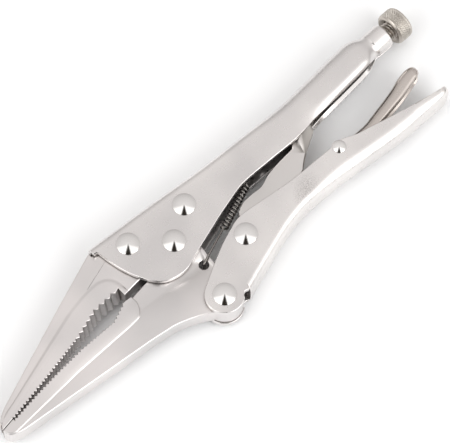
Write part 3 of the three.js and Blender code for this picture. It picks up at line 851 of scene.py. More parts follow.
class Finish:
    """The finishes of the tool, each made once."""

    def __init__(self, tool: Tool) -> None:
        """Makes every material.

        Args:
            tool: Gives the place of the rough patch on the lower handle.
        """
        sheet_light, sheet_dark = (0.83, 0.805, 0.79), (0.69, 0.67, 0.665)
        patch = tool.place(Vector((53.0, -13.2, tool.half_width)))
        self.sheet = Plating("satin_nickel_sheet", sheet_light, sheet_dark, 0.30).build()
        self.lower_sheet = PatchedPlating(
            "satin_nickel_sheet_with_patch", sheet_light, sheet_dark, 0.30, patch_centre=tuple(patch)).build()
        # Near-black painted shade for the insides of the channels and for faces hidden in the tool.
        self.inside = Plating("painted_shade_inside", (0.045, 0.04, 0.036), (0.02, 0.018, 0.016), 0.6).build()
        self.jaw = Plating(
            "satin_nickel_forging", (0.82, 0.785, 0.775), (0.69, 0.67, 0.665), 0.33, edge_highlight=0.3,
            grain_stretch=(0.35, 1.0, 1.0), grain_depth=0.008).build()
        self.teeth = Plating(
            "cut_teeth", (0.22, 0.19, 0.18), (0.14, 0.12, 0.115), 0.45, edge_highlight=0.12).build()
        # The link's plate is painted darker than the handles' as painted shade for its place between the
        # handles.
        self.link = Plating("nickel_link_painted_shade", (0.72, 0.695, 0.68), (0.66, 0.64, 0.625), 0.34).build()
        # The lever's plate is painted darker and browner than the handles' as a painted reflection of dark
        # surroundings.
        self.lever = Plating("nickel_lever_painted_reflection", (0.66, 0.61, 0.575), (0.54, 0.49, 0.455), 0.24).build()
        self.rivet = Plating(
            "polished_rivet_dome", (0.86, 0.845, 0.835), (0.80, 0.785, 0.775), 0.09,
            roughness_spread=0.03, grain_depth=0.001, edge_highlight=0.0).build()
        self.thread = Plating(
            "dull_thread", (0.50, 0.46, 0.42), (0.36, 0.33, 0.30), 0.30,
            crease_reach=1.0, crease_shade_strength=0.9).build()
        self.knob = Plating(
            "dull_knurl", (0.56, 0.515, 0.47), (0.40, 0.37, 0.34), 0.32,
            crease_reach=0.7, crease_shade_strength=0.85).build()
        self.wire = Plating("dark_spring_wire", (0.30, 0.28, 0.26), (0.20, 0.19, 0.18), 0.30).build()


@dataclass
class Assembly:
    """A sub-assembly: knows the tool and the finishes, and hands its pieces over."""

    tool: Tool
    finish: Finish

    def hand_over(
        self, piece: bpy.types.Object, body: Body | None, slot: Slot,
        materials: Iterable[bpy.types.Material], node: str
    ) -> None:
        """Dresses a piece, lets it stand for its CAD node and ride on its body.

        Args:
            piece: The finished mesh object.
            body: The body that it moves with, or None to leave it unattached.
            slot: Not used.
            materials: Materials by the numbers that its faces carry.
            node: The CAD node that it replaces.
        """
        piece.data.materials.clear()
        for material in materials:
            piece.data.materials.append(material)
        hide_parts(node)
        if body:
            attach(piece, body.value)
        log.info("%s: %d faces", piece.name, len(piece.data.polygons))


# ---- folded handles -----------------------------------------------------------------------------


@dataclass(frozen=True)
class FoldSection:
    """One cross section of a folded channel, from its spine to its two lips."""

    half_width: float
    bend: float
    depth: float
    lip: float
    curl: float
    sheet: float
    bend_facets: int = 9
    lip_facets: int = 8

    def half(self, inset_by: float) -> list[Point]:
        """One half of the section, from the middle of the spine to the lip.

        Args:
            inset_by: Distance inside the outer face.

        Returns:
            (across, down) points.
        """
        reach = self.bend - inset_by
        side = self.half_width - self.bend
        points = [
            (side + reach * math.sin(a), self.bend - reach * math.cos(a))
            for a in steps(0, math.pi / 2, self.bend_facets)]
        if self.curl < 1e-6:
            downs = steps(self.depth - self.lip, self.depth, self.lip_facets)
            return points + [(self.half_width - inset_by, down) for down in downs]
        radius = self.lip / self.curl
        start = self.depth - radius * math.sin(self.curl)
        for a in steps(0, self.curl, self.lip_facets):
            across = self.half_width - radius * (1 - math.cos(a)) - inset_by * math.cos(a)
            points.append((across, start + (radius - inset_by) * math.sin(a)))
        return points

    def loop(self, spine: Vector, down: Vector) -> Loop:
        """The closed loop round the sheet: outer face from lip to lip, then the inner face back.

        Args:
            spine: Middle of the spine's outer face.
            down: Unit vector from the spine to the lips.

        Returns:
            The points in order.
        """
        outer = self.half(0)
        inner = self.half(self.sheet)

        def at(point: Point, side: int) -> Vector:
            """A section point on one side of the channel."""
            return spine + down * point[1] + Vector((0, 0, side * point[0]))

        return (
            [at(p, 1) for p in reversed(outer)] + [at(p, -1) for p in outer]
            + [at(p, -1) for p in reversed(inner)] + [at(p, 1) for p in inner])


def rounded_tail(section: Callable[[float], Loop], start: float, reach: float, count: int) -> list[Loop]:
    """Loops that round off the end of a folded piece.

    Args:
        section: Gives the sheet's loop at a station.
        start: Station where the rounding begins.
        reach: Station of the tip.
        count: Number of loops.

    Returns:
        The loops after start, each a smaller copy of the loop there.
    """
    base = section(start)
    centre = sum(base, Vector((0, 0, 0))) / len(base)
    slope = Vector((0, sum((p - q).y for p, q in zip(base, section(start - 0.5))) / len(base) / 0.5, 0))
    loops = []
    for a in steps(0, math.pi / 2 - 0.12, count)[1:]:
        forward = (reach - start) * math.sin(a)
        middle = centre + Vector((forward, slope.y * forward, 0))
        narrowed = math.cos(a) ** 0.65
        loops.append([
            middle + Vector((0, (p.y - centre.y) * narrowed, (p.z - centre.z) * (0.2 + 0.8 * narrowed)))
            for p in base])
    return loops


def fold(maker: MeshMaker, loops: Sequence[Loop], front_open: int = 0) -> int:
    """Skins the loops of a folded channel and closes its ends across the sheet.

    Args:
        maker: Collects the mesh.
        loops: Loops of FoldSection, front to rear.
        front_open: Strips that stay open at each side of the front end, for an ear to join.

    Returns:
        The index of the first point.
    """
    count = len(loops[0])
    first = maker.skin(loops, caps=False)
    half = count // 2
    start = len(maker.tags) - (len(loops) - 1) * count
    # The inner faces take slot 1, which in the handles holds the near-black painted shade.
    for row in range(len(loops) - 1):
        for j in range(half, count - 1):
            maker.tags[start + row * count + j] = INSIDE_TAG
    last = first + (len(loops) - 1) * count
    for j in range(half - 1):
        across = count - 1 - j
        if front_open <= j < half - 1 - front_open:
            maker.face(first + j + 1, first + j, first + across, first + across - 1)
        maker.face(last + j, last + j + 1, last + across - 1, last + across)
    return first


@dataclass
class UpperHandle(Assembly):
    """Folded grip whose rear end is rolled into the threaded boss."""

    spine_front: float = -27.6
    grip_start: float = 62.0
    boss_length: float = 8.2
    boss_chamfer: float = 0.45
    lip_length: float = 6.6
    neck_dip: float = 0.25
    crown: float = 0.12
    tab_thickness: float = 1.3
    tab_half: float = 1.8

    def __post_init__(self) -> None:
        """Lays out the lines along X that the sections follow."""
        tool, front, grip = self.tool, self.spine_front, self.grip_start
        boss, width, radius = tool.boss_reach - self.boss_length, tool.half_width, tool.boss_radius
        self.boss_start = boss
        self.neck = boss - 0.2
        waist = radius - self.neck_dip
        self.half_width = SmoothLine([
            (front, width), (boss - 10, width), (boss - 5, width - 0.25), (self.neck, waist),
            (boss + 0.9, radius), (tool.boss_reach - 0.9, radius),
            (tool.boss_reach, radius - self.boss_chamfer)])
        self.spine_ahead = SmoothLine([
            (front, 17.3), (3.5, 18.4), (25.7, 18.9), (42.4, 19.9), (61.3, 21.6),
            (0.682 * tool.boss_reach, 25.1), (0.83 * tool.boss_reach, 28.4), (boss - 6.5, 29.2),
            (self.neck, tool.screw_axis_y(self.neck) + waist)])
        self.edge = SmoothLine([
            (front, 17.2), (-26.3, 15.3), (-24.7, 8.7), (-22.2, 1.4), (-19.3, -4.1), (-16.3, -8.2),
            (-13.3, -10.8), (-9.9, -12.1), (-6, -12.5), (-2.7, -12.1), (2.9, -9.5), (14, -4.6),
            (25.1, 0), (36.2, 3.7), (49.6, 5.1), (grip, 6.2), (76.1, 9.4),
            (0.768 * tool.boss_reach, 12.3), (boss - 4.8, 15.4),
            (self.neck, tool.screw_axis_y(self.neck) - waist)])
        self.bend = SmoothLine([
            (front, tool.fold_radius), (45, tool.fold_radius), (75, width - 0.7), (boss - 9, width - 0.4)])
        self.tilt = SmoothLine([
            (front, 0), (grip, 0), (boss - 3, tool.screw_tilt), (tool.boss_reach, tool.screw_tilt)])
        self.curl = SmoothLine([
            (front, 0), (grip, 0), (76, 0.62), (88, 1.2), (boss - 8, 1.2), (boss - 1, 1.5),
            (tool.boss_reach, 1.5)])

    def spine(self, x: float) -> float:
        """Outer face of the spine; behind the neck it is the top of the boss."""
        return self.spine_ahead(x) if x < self.neck else self.tool.screw_axis_y(x) + self.half_width(x)

    def section(self, x: float) -> Loop:
        """The sheet's loop at a station along X.

        Args:
            x: The station.

        Returns:
            The closed loop of its section.
        """
        tilt, half_width, curl, spine_y = self.tilt(x), self.half_width(x), self.curl(x), self.spine(x)
        down = Vector((math.sin(tilt), -math.cos(tilt), 0))
        bend = min(self.bend(x), half_width - self.crown)
        depth = spine_y - self.edge(x)
        for _ in range(3):
            depth = (spine_y - self.edge(x + depth * down.x)) / math.cos(tilt)
        rolled = smoothstep(x, self.boss_start - 8, self.boss_start - 0.5)
        straight = min(self.lip_length, 0.5 * (depth - bend))
        lip = straight + (half_width * curl - straight) * rolled
        if rolled == 1:
            depth = bend + half_width * math.sin(curl)
        sheet = min(self.tool.sheet, half_width - self.tool.bore_radius)
        shape = FoldSection(half_width, bend, max(depth, bend + 0.6), max(lip, 0.25), curl, sheet)
        return shape.loop(Vector((x, spine_y, 0)), down)

    def stations(self) -> list[float]:
        """Stations along X, closer where the outline turns.

        Returns:
            The stations from the front to the boss's face.
        """
        boss, reach = self.boss_start, self.tool.boss_reach
        return (
            steps(self.spine_front, -24, 9) + steps(-23.2, -8, 19) + steps(-7, 12, 19)
            + steps(13.5, self.grip_start - 2, 28) + steps(self.grip_start, boss - 10, 34)
            + steps(boss - 9, boss - 1, 14) + steps(self.neck, boss + 0.9, 5)
            + steps(boss + 1.6, reach - 0.9, 5) + steps(reach - 0.6, reach, 2))

    def build(self) -> None:
        """Folds the sheet and adds the spring's tab."""
        maker = MeshMaker(self.tool)
        fold(maker, [self.section(x) for x in self.stations()])
        self.add_tab(maker)
        piece = maker.piece("upper_handle_pressing")
        ease_edges(piece, 0.28)
        materials = [self.finish.sheet, self.finish.inside]
        self.hand_over(piece, Body.UPPER, Slot.SHEET, materials, "upper_handle")

    def add_tab(self, maker: MeshMaker) -> None:
        """Adds the tongue under the spine, which takes the spring's rear hook.

        Args:
            maker: Collects the mesh.
        """
        hook, half = self.tool.spring_tab, self.tab_half
        top = self.spine(hook.x) - 0.4 * self.tool.sheet
        front = hook.x - 0.4 - self.tab_thickness / 2
        rear = front + self.tab_thickness
        corners = ((front, half), (rear, half), (rear, -half), (front, -half))
        # The tab lies inside the channel and takes the near-black painted shade.
        maker.skin([[Vector((x, y, z)) for x, z in corners] for y in (top, hook.y - 2.2)], tag=INSIDE_TAG)


@dataclass
class LowerHandle(Assembly):
    """Folded handle with two ears round the movable jaw's knuckle."""

    fold_start: Vector = field(default_factory=lambda: Vector((9.2, -34.3, 0)))
    ear_radius: float = 7.6
    relief_radius: float = 1.9
    bend_facets: int = 9
    tail_length: float = 3.6

    def __post_init__(self) -> None:
        """Lays out the spine and the edge."""
        reach = self.tool.lower_reach
        self.pivot = self.tool.pivot("handle_pivot_rivet")
        lever = self.tool.pivot("lever_rivet")
        self.spine = SmoothLine([
            (self.fold_start.x, -34.1), (25.2, -26.9), (41.9, -20.1), (52.9, -17.6), (68.7, -16.9),
            (0.732 * reach, -16.8), (0.823 * reach, -16.2), (0.911 * reach, -14.6),
            (reach - 3, -13.2), (reach, -11.8)])
        self.edge = SmoothLine([
            (-2.2, -22.5), (7.3, -16), (14, -11.9), (19.6, -9.1), (25.1, -6.9), (29.5, -6.5),
            (47.3, -6.7), (66.2, -5.3), (lever.x - 3.2, -4.9), (lever.x, -3.7), (lever.x + 3.2, -4.4),
            (83, -6.2), (89.6, -7.1), (0.839 * reach, -8.9), (0.937 * reach, -10.1),
            (reach - 3.5, -10.4), (reach - 1.2, -10.9), (reach, -11.75)])

    def section(self, x: float) -> Loop:
        """The sheet's loop at a station along X.

        Args:
            x: The station.

        Returns:
            The closed loop of its section.
        """
        spine_y = self.spine(x)
        depth = self.edge(x) - spine_y
        full = self.tool.fold_radius + 2 * smoothstep(x, 50, 72)
        bend = min(full, max(self.tool.sheet + 0.25, depth - 1.0))
        depth = max(depth, bend + 0.3)
        lip = max(0.3, 0.5 * (depth - bend))
        half_width = self.tool.half_width
        shape = FoldSection(
            half_width, min(bend, half_width - 0.1), depth, lip, 0.0, self.tool.sheet,
            bend_facets=self.bend_facets, lip_facets=2)
        return shape.loop(Vector((x, spine_y, 0)), Vector((0, 1, 0)))

    def build(self) -> None:
        """Folds the channel and joins the ears to its front."""
        reach = self.tool.lower_reach
        stations = (
            steps(self.channel_front, 40, 26) + steps(41.5, 70, 19) + steps(71, 84, 13)
            + steps(85.5, reach - self.tail_length, 22))
        loops = [self.section(x) for x in stations]
        loops += rounded_tail(self.section, reach - self.tail_length, reach, 10)
        maker = MeshMaker(self.tool)
        wall = 3
        first = fold(maker, loops, front_open=wall)
        half = len(loops[0]) // 2
        for side in (1, -1):
            self.add_ear(maker, first, wall, half, side)
        piece = maker.piece("lower_handle_pressing")
        ease_edges(piece, 0.25)
        materials = [self.finish.lower_sheet, self.finish.inside]
        self.hand_over(piece, Body.LOWER, Slot.SHEET, materials, "lower_handle")

    @property
    def channel_front(self) -> float:
        """Where the fold begins, at the rear side of the relief hole."""
        return self.fold_start.x + 0.9 * self.relief_radius

    def add_ear(self, maker: MeshMaker, first: int, wall: int, half: int, side: int) -> None:
        """Joins one flat ear to the open front of the channel's wall.

        Args:
            maker: Collects the mesh.
            first: Index of the channel's first point.
            wall: Number of open strips at the front.
            half: Points on the outer face of one loop.
            side: 1 for the ear towards +Z, -1 for the other.
        """
        count = 2 * half
        outer_wall = list(range(wall + 1)) if side > 0 else [half - 1 - j for j in range(wall + 1)]
        inner_wall = [count - 1 - j for j in outer_wall]
        tangent = math.pi / 2 + 0.568
        front = self.channel_front
        rim = flat((front, self.fold_start.y + self.relief_radius))
        rim += arc(self.fold_start, self.relief_radius, math.radians(55), math.radians(178), 14)
        rim += arc(self.pivot, self.ear_radius, FULL_TURN - 0.781, tangent, 56)[1:]
        rim += flat(*((x, self.edge(x)) for x in steps(-1.6, front, 6)[:-1]))
        rings = []
        for z in (self.tool.half_width, self.tool.wall_in):
            rings.append(list(range(len(maker.points), len(maker.points) + len(rim))))
            maker.points.extend(Vector((p.x, p.y, side * z)) for p in rim)
        outer = [first + j for j in outer_wall] + rings[0]
        inner = [first + j for j in inner_wall] + rings[1]
        maker.face(*outer)
        # The ear's inner face takes the near-black painted shade.
        maker.face(*inner, tag=INSIDE_TAG)
        outer_run = [first + outer_wall[-1], *rings[0], first + outer_wall[0]]
        inner_run = [first + inner_wall[-1], *rings[1], first + inner_wall[0]]
        for a, b, c, d in zip(outer_run, outer_run[1:], inner_run[1:], inner_run):
            maker.face(a, b, c, d)


# ---- jaws ---------------------------------------------------------------------------------------


@dataclass
class Jaw(Assembly):
    """What the two jaws share: the nose's stations and the saw edges."""

    throat_back: float = -27.8
    teeth_start: float = -52.5
    drawn_reach: float = 94.6
    tooth_pitch: float = 1.6
    tooth_depth: float = 0.75
    throat_pitch: float = 2.8
    throat_depth: float = 1.1
    land_length: float = 5.6
    bite_gap: float = 0.3
    stretch: float = 12.0
    easing: float = 0.14

    def nose_x(self, x: float) -> float:
        """A drawn station on the nose at the tool's own reach.

        Args:
            x: The station as drawn.

        Returns:
            The station on the tool; behind the throat it is the same.
        """
        if x >= self.throat_back:
            return x
        scale = (self.tool.nose_reach + self.throat_back) / (self.drawn_reach + self.throat_back)
        return self.throat_back + (x - self.throat_back) * scale

    def undercut(self, x: float) -> float:
        """How far the toothed face leans out towards -Z at a station; a plain jaw's is square."""
        return 0.0

    def teeth(self, start: Vector, end: Vector, pitch: float, depth: float) -> Loop:
        """Points of a straight saw edge, each crest with a small flat.

        Args:
            start: Where the edge begins.
            end: Where it ends; the last point itself is left out.
            pitch: Length of a tooth.
            depth: Height of a tooth to the right of the way, or to the left when negative.

        Returns:
            Three points for each tooth.
        """
        way = end - start
        count = round(way.length / pitch)
        side = Vector((way.y, -way.x, 0)).normalized() * depth
        points = []
        for i in range(count):
            for share, height in ((0.0, 0.0), (0.44, 0.94), (0.56, 0.94)):
                points.append(start + way * ((i + share) / count) + side * height)
        return points

    def toothed_line(self, line: SmoothLine, start: float, end: float, pitch: float, depth: float) -> Loop:
        """Stretches of a curve turned into teeth.

        Args:
            line: The curve.
            start: Station where the teeth begin.
            end: Station where they end.
            pitch: Length of a tooth.
            depth: Height of a tooth, signed as in teeth().

        Returns:
            The points of the saw edge.
        """
        count = max(1, round(abs(end - start) / self.stretch))
        knots = [Vector((x, line(x), 0)) for x in steps(start, end, count)]
        return [p for a, b in zip(knots, knots[1:]) for p in self.teeth(a, b, pitch, depth)]

    def raised_pad(self, maker: MeshMaker, edge: Loop, back: Loop, slope: float) -> None:
        """Adds the nose's raised pad, toothed along one edge and dished down along its back.

        Args:
            maker: Collects the mesh.
            edge: Points of the gripping edge.
            back: Points of the pad's other boundary, from the end of the edge to its start.
            slope: Width of the slope down to the web.
        """
        low, high = self.tool.web_half, self.tool.nose_half
        easing = self.easing
        edge = cleaned(edge)
        foot = cleaned([*edge, *back])
        ends = (edge[0], edge[-1])
        fades = (20 * slope, 3 * slope)
        share = [min(1.0, *((p - end).length / fade for end, fade in zip(ends, fades))) for p in foot]
        share = [0.0 if i < len(edge) else value for i, value in enumerate(share)]
        eased = inset(foot, easing)
        loops = []
        for t in (1.0, 0.84, 0.67, 0.5, 0.33, 0.16, 0.0):
            moved = inset(foot, slope * t)
            height = low + (high - low) * smoothstep(t, 0, 1)
            rim = high - easing * (1 - t) / 0.16 if t > 0.8 else low + (high - easing - low) * t / 0.84
            loops.append([
                (eased[i] if t == 1 else foot[i]).lerp(moved[i], s) + Vector((0, 0, rim + (height - rim) * s))
                for i, s in enumerate(share)])
        loops.append([p + Vector((0, 0, low - 0.4)) for p in foot])
        far_half = mirrored(loops)
        for loop in far_half:
            for p in loop[:len(edge)]:
                p.y -= self.undercut(p.x)
        start = len(maker.faces)
        maker.skin(loops + far_half)
        for row in range(1, 2 * len(loops) - 2):
            for j in range(2, len(edge) - 1):
                maker.tags[start + row * len(foot) + j] = TEETH_TAG


@dataclass
class FixedJaw(Jaw):
    """Upper jaw, riveted between the walls of the upper handle."""

    spine_front: float = -27.6
    spine_y: float = 17.3
    lean: float = 1.4
    hub_room: float = 9.0
    lug_radius: float = 6.0

    def undercut(self, x: float) -> float:
        """The throat's teeth lean out a little, and less and less towards the fine teeth."""
        return self.lean * smoothstep(x, self.nose_x(self.teeth_start), -42)

    def build(self) -> None:
        """Makes the forging with its web, pad and teeth."""
        tool, nose = self.tool, self.nose_x
        reach = tool.nose_reach
        teeth_line = SmoothLine([
            (nose(-88.9), -20.5), (nose(-69.5), -14.7), (nose(self.teeth_start), -9.2)])
        throat_line = SmoothLine([
            (nose(self.teeth_start), -9.2), (-48.5, -7.0), (-44, -4.9), (-38.9, -3.4), (-33.4, -2.3),
            (-28.4, -1.9)])
        front, back_x = nose(self.teeth_start), self.throat_back
        edge = flat((-reach + 0.1, -22.3), (-reach + self.land_length, -20.8))
        edge += self.toothed_line(teeth_line, nose(-88.9), front, self.tooth_pitch, self.tooth_depth)
        edge += self.toothed_line(throat_line, front, -28.4, self.throat_pitch, self.throat_depth)
        edge += flat((back_x, -2.2), (back_x + 0.35, -5.9), (back_x + 2.3, -5.5))
        maker = MeshMaker(tool)
        back = curve((back_x + 2.3, -5.5), (back_x + 2.9, 4.4), (-33, 4.9), count=20)
        back += curve((-33, 4.9), (-40, 4.4), (nose(-50), 0.6))
        back += flat((nose(-86), -15.9))
        back += curve((nose(-86), -15.9), (-reach + 1.2, -18.6), (-reach + 0.1, -22.1))
        self.raised_pad(maker, edge, back, 1.9)
        self.add_web(maker)
        piece = maker.piece("fixed_jaw_forging")
        materials = [self.finish.jaw, self.finish.teeth, self.finish.inside]
        self.hand_over(piece, Body.UPPER, Slot.JAW, materials, "fixed_jaw")

    def add_web(self, maker: MeshMaker) -> None:
        """Adds the plate behind the pad, with its lugs between the handle's walls.

        Args:
            maker: Collects the mesh.
        """
        tool, nose = self.tool, self.nose_x
        reach, back_x = tool.nose_reach, self.throat_back
        front, rear = tool.pivot("fixed_jaw_front_rivet"), tool.pivot("fixed_jaw_rear_rivet")
        shoulder = self.spine_front - 0.3
        seat = self.spine_y - tool.sheet - 0.7
        outline = flat(
            (-reach + 2.4, -20.6), (nose(-88.9), -19.4), (nose(-69.5), -13.8), (nose(self.teeth_start), -8.2),
            (-44, -3.8), (-33.4, -1.2), (back_x + 0.1, -1.6), (back_x + 0.5, -5.9), (-18.5, -4.1))
        outline += arc(Vector((0, 0, 0)), self.hub_room, math.pi + 0.35, 0.42, 24)
        outline += arc(rear, self.lug_radius, -1.9, math.pi / 2 - 0.1, 20)
        outline += flat(
            (front.x, seat + 0.3), (shoulder, seat), (shoulder, seat + 1.4), (shoulder - 1, seat + 1.3),
            (nose(-49.5), 5.5), (nose(-88.9), -15.1))
        outline += curve((nose(-88.9), -15.1), (-reach + 1.0, -18.0), (-reach + 0.2, -20.6))
        start = len(maker.faces)
        rounded_plate(maker, outline, tool.web_half, 0.7, facets=5)
        # Faces of the web that reach inside the handle take the near-black painted shade.
        for i in range(start, len(maker.faces)):
            if min(maker.points[corner].x for corner in maker.faces[i]) > 2:
                maker.tags[i] = HIDDEN_TAG


@dataclass
class MovableJaw(Jaw):
    """Lower jaw with its hub on the jaw pivot and its knuckle on the handle pivot."""

    hub_radius: float = 8.6
    knuckle_radius: float = 7.2
    spring_hole: float = 1.95

    def build(self) -> None:
        """Makes the forging and drills the spring's hole."""
        tool, nose = self.tool, self.nose_x
        reach = tool.nose_reach
        front, drop, pitch, depth = nose(self.teeth_start), self.bite_gap, self.tooth_pitch, self.tooth_depth
        line = SmoothLine([(nose(-88.9), -22.1), (nose(-69.5), -17.4), (front, -14.3)])
        hollow = SmoothLine([(front, -14.3), (nose(-43.9), -13.6), (-37.0, -12.7), (-29.2, -8.6)])
        tip = Vector((-reach + 0.1, -22.3 - drop, 0))
        edge = [tip, *flat((-reach + self.land_length, -20.8 - drop))]
        edge += self.toothed_line(line, nose(-88.9), front, pitch, -depth)
        edge += self.toothed_line(hollow, front, -37.0, pitch, -0.8 * depth)
        edge += self.toothed_line(hollow, -37.0, -29.2, 1.2 * pitch, -depth)
        edge += flat((-28.7, -8.1), (-26.4, -8.0))
        back = flat((-25.9, -8.3))
        back += curve((-25.9, -8.3), (-24.4, -12.4), (-27.8, -16.2))
        back += curve((-27.8, -16.2), (-29, -17.2), (-39.5, -18.3))
        back += flat((nose(-59.5), -20.7), (nose(-90.6), -26.0))
        back += curve((nose(-90.6), -26.0), (-reach + 0.9, -25.6), (-reach + 0.1, tip.y - 0.3))
        maker = MeshMaker(tool)
        self.raised_pad(maker, edge, back, 0.45)
        self.add_web(maker, tip)
        piece = maker.piece("movable_jaw_forging")
        # The spring hole's wall takes the near-black painted shade.
        cut(piece, flared_hole(tool, tool.spring_hook, self.spring_hole, tool.web_half, 0.2, HIDDEN_TAG))
        materials = [self.finish.jaw, self.finish.teeth, self.finish.inside]
        self.hand_over(piece, Body.JAW, Slot.JAW, materials, "movable_jaw")

    def add_web(self, maker: MeshMaker, tip: Vector) -> None:
        """Adds the plate that carries the pad, the hub and the knuckle.

        Args:
            maker: Collects the mesh.
            tip: Foremost point of the gripping edge.
        """
        tool, nose = self.tool, self.nose_x
        reach = tool.nose_reach
        knuckle = tool.pivot("handle_pivot_rivet")
        outline = flat(
            (-reach + 0.5, tip.y - 0.9), (nose(-88.9), -23.2), (nose(-69.5), -18.4),
            (nose(self.teeth_start), -15.3), (-37.3, -13.9), (-28.7, -9.3), (-26.2, -8.5), (-18.4, -6.6))
        outline += arc(Vector((0, 0, 0)), self.hub_radius, math.pi + 0.52, -0.53, 32)
        outline += flat((7.4, -24))
        outline += arc(knuckle, self.knuckle_radius, 0.4, -math.pi + 0.42, 32)
        last = outline[-1]
        outline += curve((last.x, last.y), (-11, -28.6), (-20, -27.1))
        outline += flat((-30, -26.7), (nose(-86.5), -26.9))
        outline += curve((nose(-86.5), -26.9), (-reach + 0.8, -26.8), (-reach + 0.1, tip.y - 0.8))
        rounded_plate(maker, outline, tool.web_half, 0.55, facets=5)


# ---- link and lever -----------------------------------------------------------------------------


@dataclass
class ToggleLink(Assembly):
    """Strut from the lower handle to the screw."""

    lug_radius: float = 6.0
    tail_radius: float = 3.0
    tail_half: float = 2.55
    tail_reach: float = 70.68
    wall: float = 1.6

    def build(self) -> None:
        """Makes the channel and shaves its tail to pass between the lips."""
        tool = self.tool
        pivot = tool.pivot("link_rivet")
        tail = Vector((self.tail_reach, tool.screw_axis_y(self.tail_reach), 0))
        outline = arc(pivot, self.lug_radius, -1.15, -2 * math.pi + 1.25, 48)
        top = ((27.2, -4.2), (31.0, -2.1), (35.5, -1.3), (40.6, -0.9), (45.4, 1.3), (51.3, 3.0), (59.6, 4.6))
        outline += bezier_run(flat(*top), 5)
        outline += flat((tail.x - 5.2, tail.y - 5.2))
        outline += arc(tail, self.tail_radius, math.pi * 0.8, -0.35, 20)
        outline += flat((71.8, 6.6))
        outline += curve((71.8, 6.6), (62, 0.4), (57.6, -5.0), count=20)
        outline += flat((50, -9.6))
        maker = MeshMaker(tool)
        rounded_plate(maker, outline, tool.web_half, 0.45)
        piece = maker.piece("toggle_link_strut")
        hollow = (
            (30.5, -4.2), (41.0, -2.9), (44.5, 0.2), (51.5, 1.2), (58.5, 2.4), (62.5, 2.0), (66, -8),
            (52, -30), (32, -30))
        half = tool.web_half - self.wall
        cut(piece, prism(tool, hollow, -half, half))
        beside_tail = ((62.5, -3.0), (90.0, -3.0), (90.0, 30.0), (62.5, 30.0))
        outside = tool.web_half + 1
        for low, high in ((-outside, -self.tail_half), (self.tail_half, outside)):
            cut(piece, prism(tool, beside_tail, low, high))
        self.hand_over(piece, Body.LINK, Slot.LINK, [self.finish.link], "toggle_link")


@dataclass
class ReleaseLever(Assembly):
    """Pinned trough whose nose reaches under the link."""

    lever_sheet: float = 1.4
    nose_thickness: float = 3.4
    tail_length: float = 3.4

    def __post_init__(self) -> None:
        """Lays out the web and the lips."""
        reach = self.tool.lever_reach
        pivot = self.tool.pivot("lever_rivet")
        self.web = SmoothLine([
            (68, -3.3), (pivot.x, -3.15), (80, -4.0), (87.4, -3.4), (95.7, -1.1),
            (reach - 13.6, 2.6), (reach - 8, 5.0), (reach - 3.4, 6.1), (reach, 5.4)])
        self.lip = SmoothLine([
            (68, -9.5), (pivot.x, -10.2), (82, -9.8), (95, -6.8), (reach - 17.3, -4.6),
            (reach - 12.3, -3.3), (reach - 6.7, -1.4), (reach - 2.3, 0.6), (reach, 2.4)])

    def section(self, x: float) -> Loop:
        """The sheet's loop at a station along X.

        Args:
            x: The station.

        Returns:
            The closed loop of its section.
        """
        depth = self.web(x) - self.lip(x)
        bend = min(self.tool.web_half - 0.15, max(self.lever_sheet + 0.2, depth - 0.8))
        depth = max(depth, bend + 0.3)
        curl = 1.15 * smoothstep(x, 80, 96)
        lip = max(0.2, (0.5 + 0.4 * smoothstep(x, 80, 96)) * (depth - bend))
        shape = FoldSection(
            self.tool.web_half, bend, depth, lip, curl, self.lever_sheet, bend_facets=12, lip_facets=6)
        return shape.loop(Vector((x, self.web(x), 0)), Vector((0, -1, 0)))

    def build(self) -> None:
        """Folds the trough and adds the nose."""
        reach = self.tool.lever_reach
        maker = MeshMaker(self.tool)
        stations = steps(68, 84, 14) + steps(85.5, reach - self.tail_length, 28)
        tail = rounded_tail(self.section, reach - self.tail_length, reach, 10)
        fold(maker, [self.section(x) for x in stations] + tail)
        nose = flat((72, -4.1), (66, -5.6), (56, -8.0), (53.6, -9.6), (54.4, -11.2), (64, -11.4), (71, -9.0))
        rounded_plate(maker, nose, self.nose_thickness / 2, 0.3)
        bridge = flat((68.4, -5.2), (70.8, -5.2), (70.8, -8.8), (68.4, -8.8))
        rounded_plate(maker, bridge, self.tool.web_half - self.lever_sheet + 0.3, 0.1)
        piece = maker.piece("release_lever_trough")
        ease_edges(piece, 0.22)
        self.hand_over(piece, Body.LEVER, Slot.LEVER, [self.finish.lever] * 2, "release_lever")


# ---- screw, spring and rivets -------------------------------------------------------------------


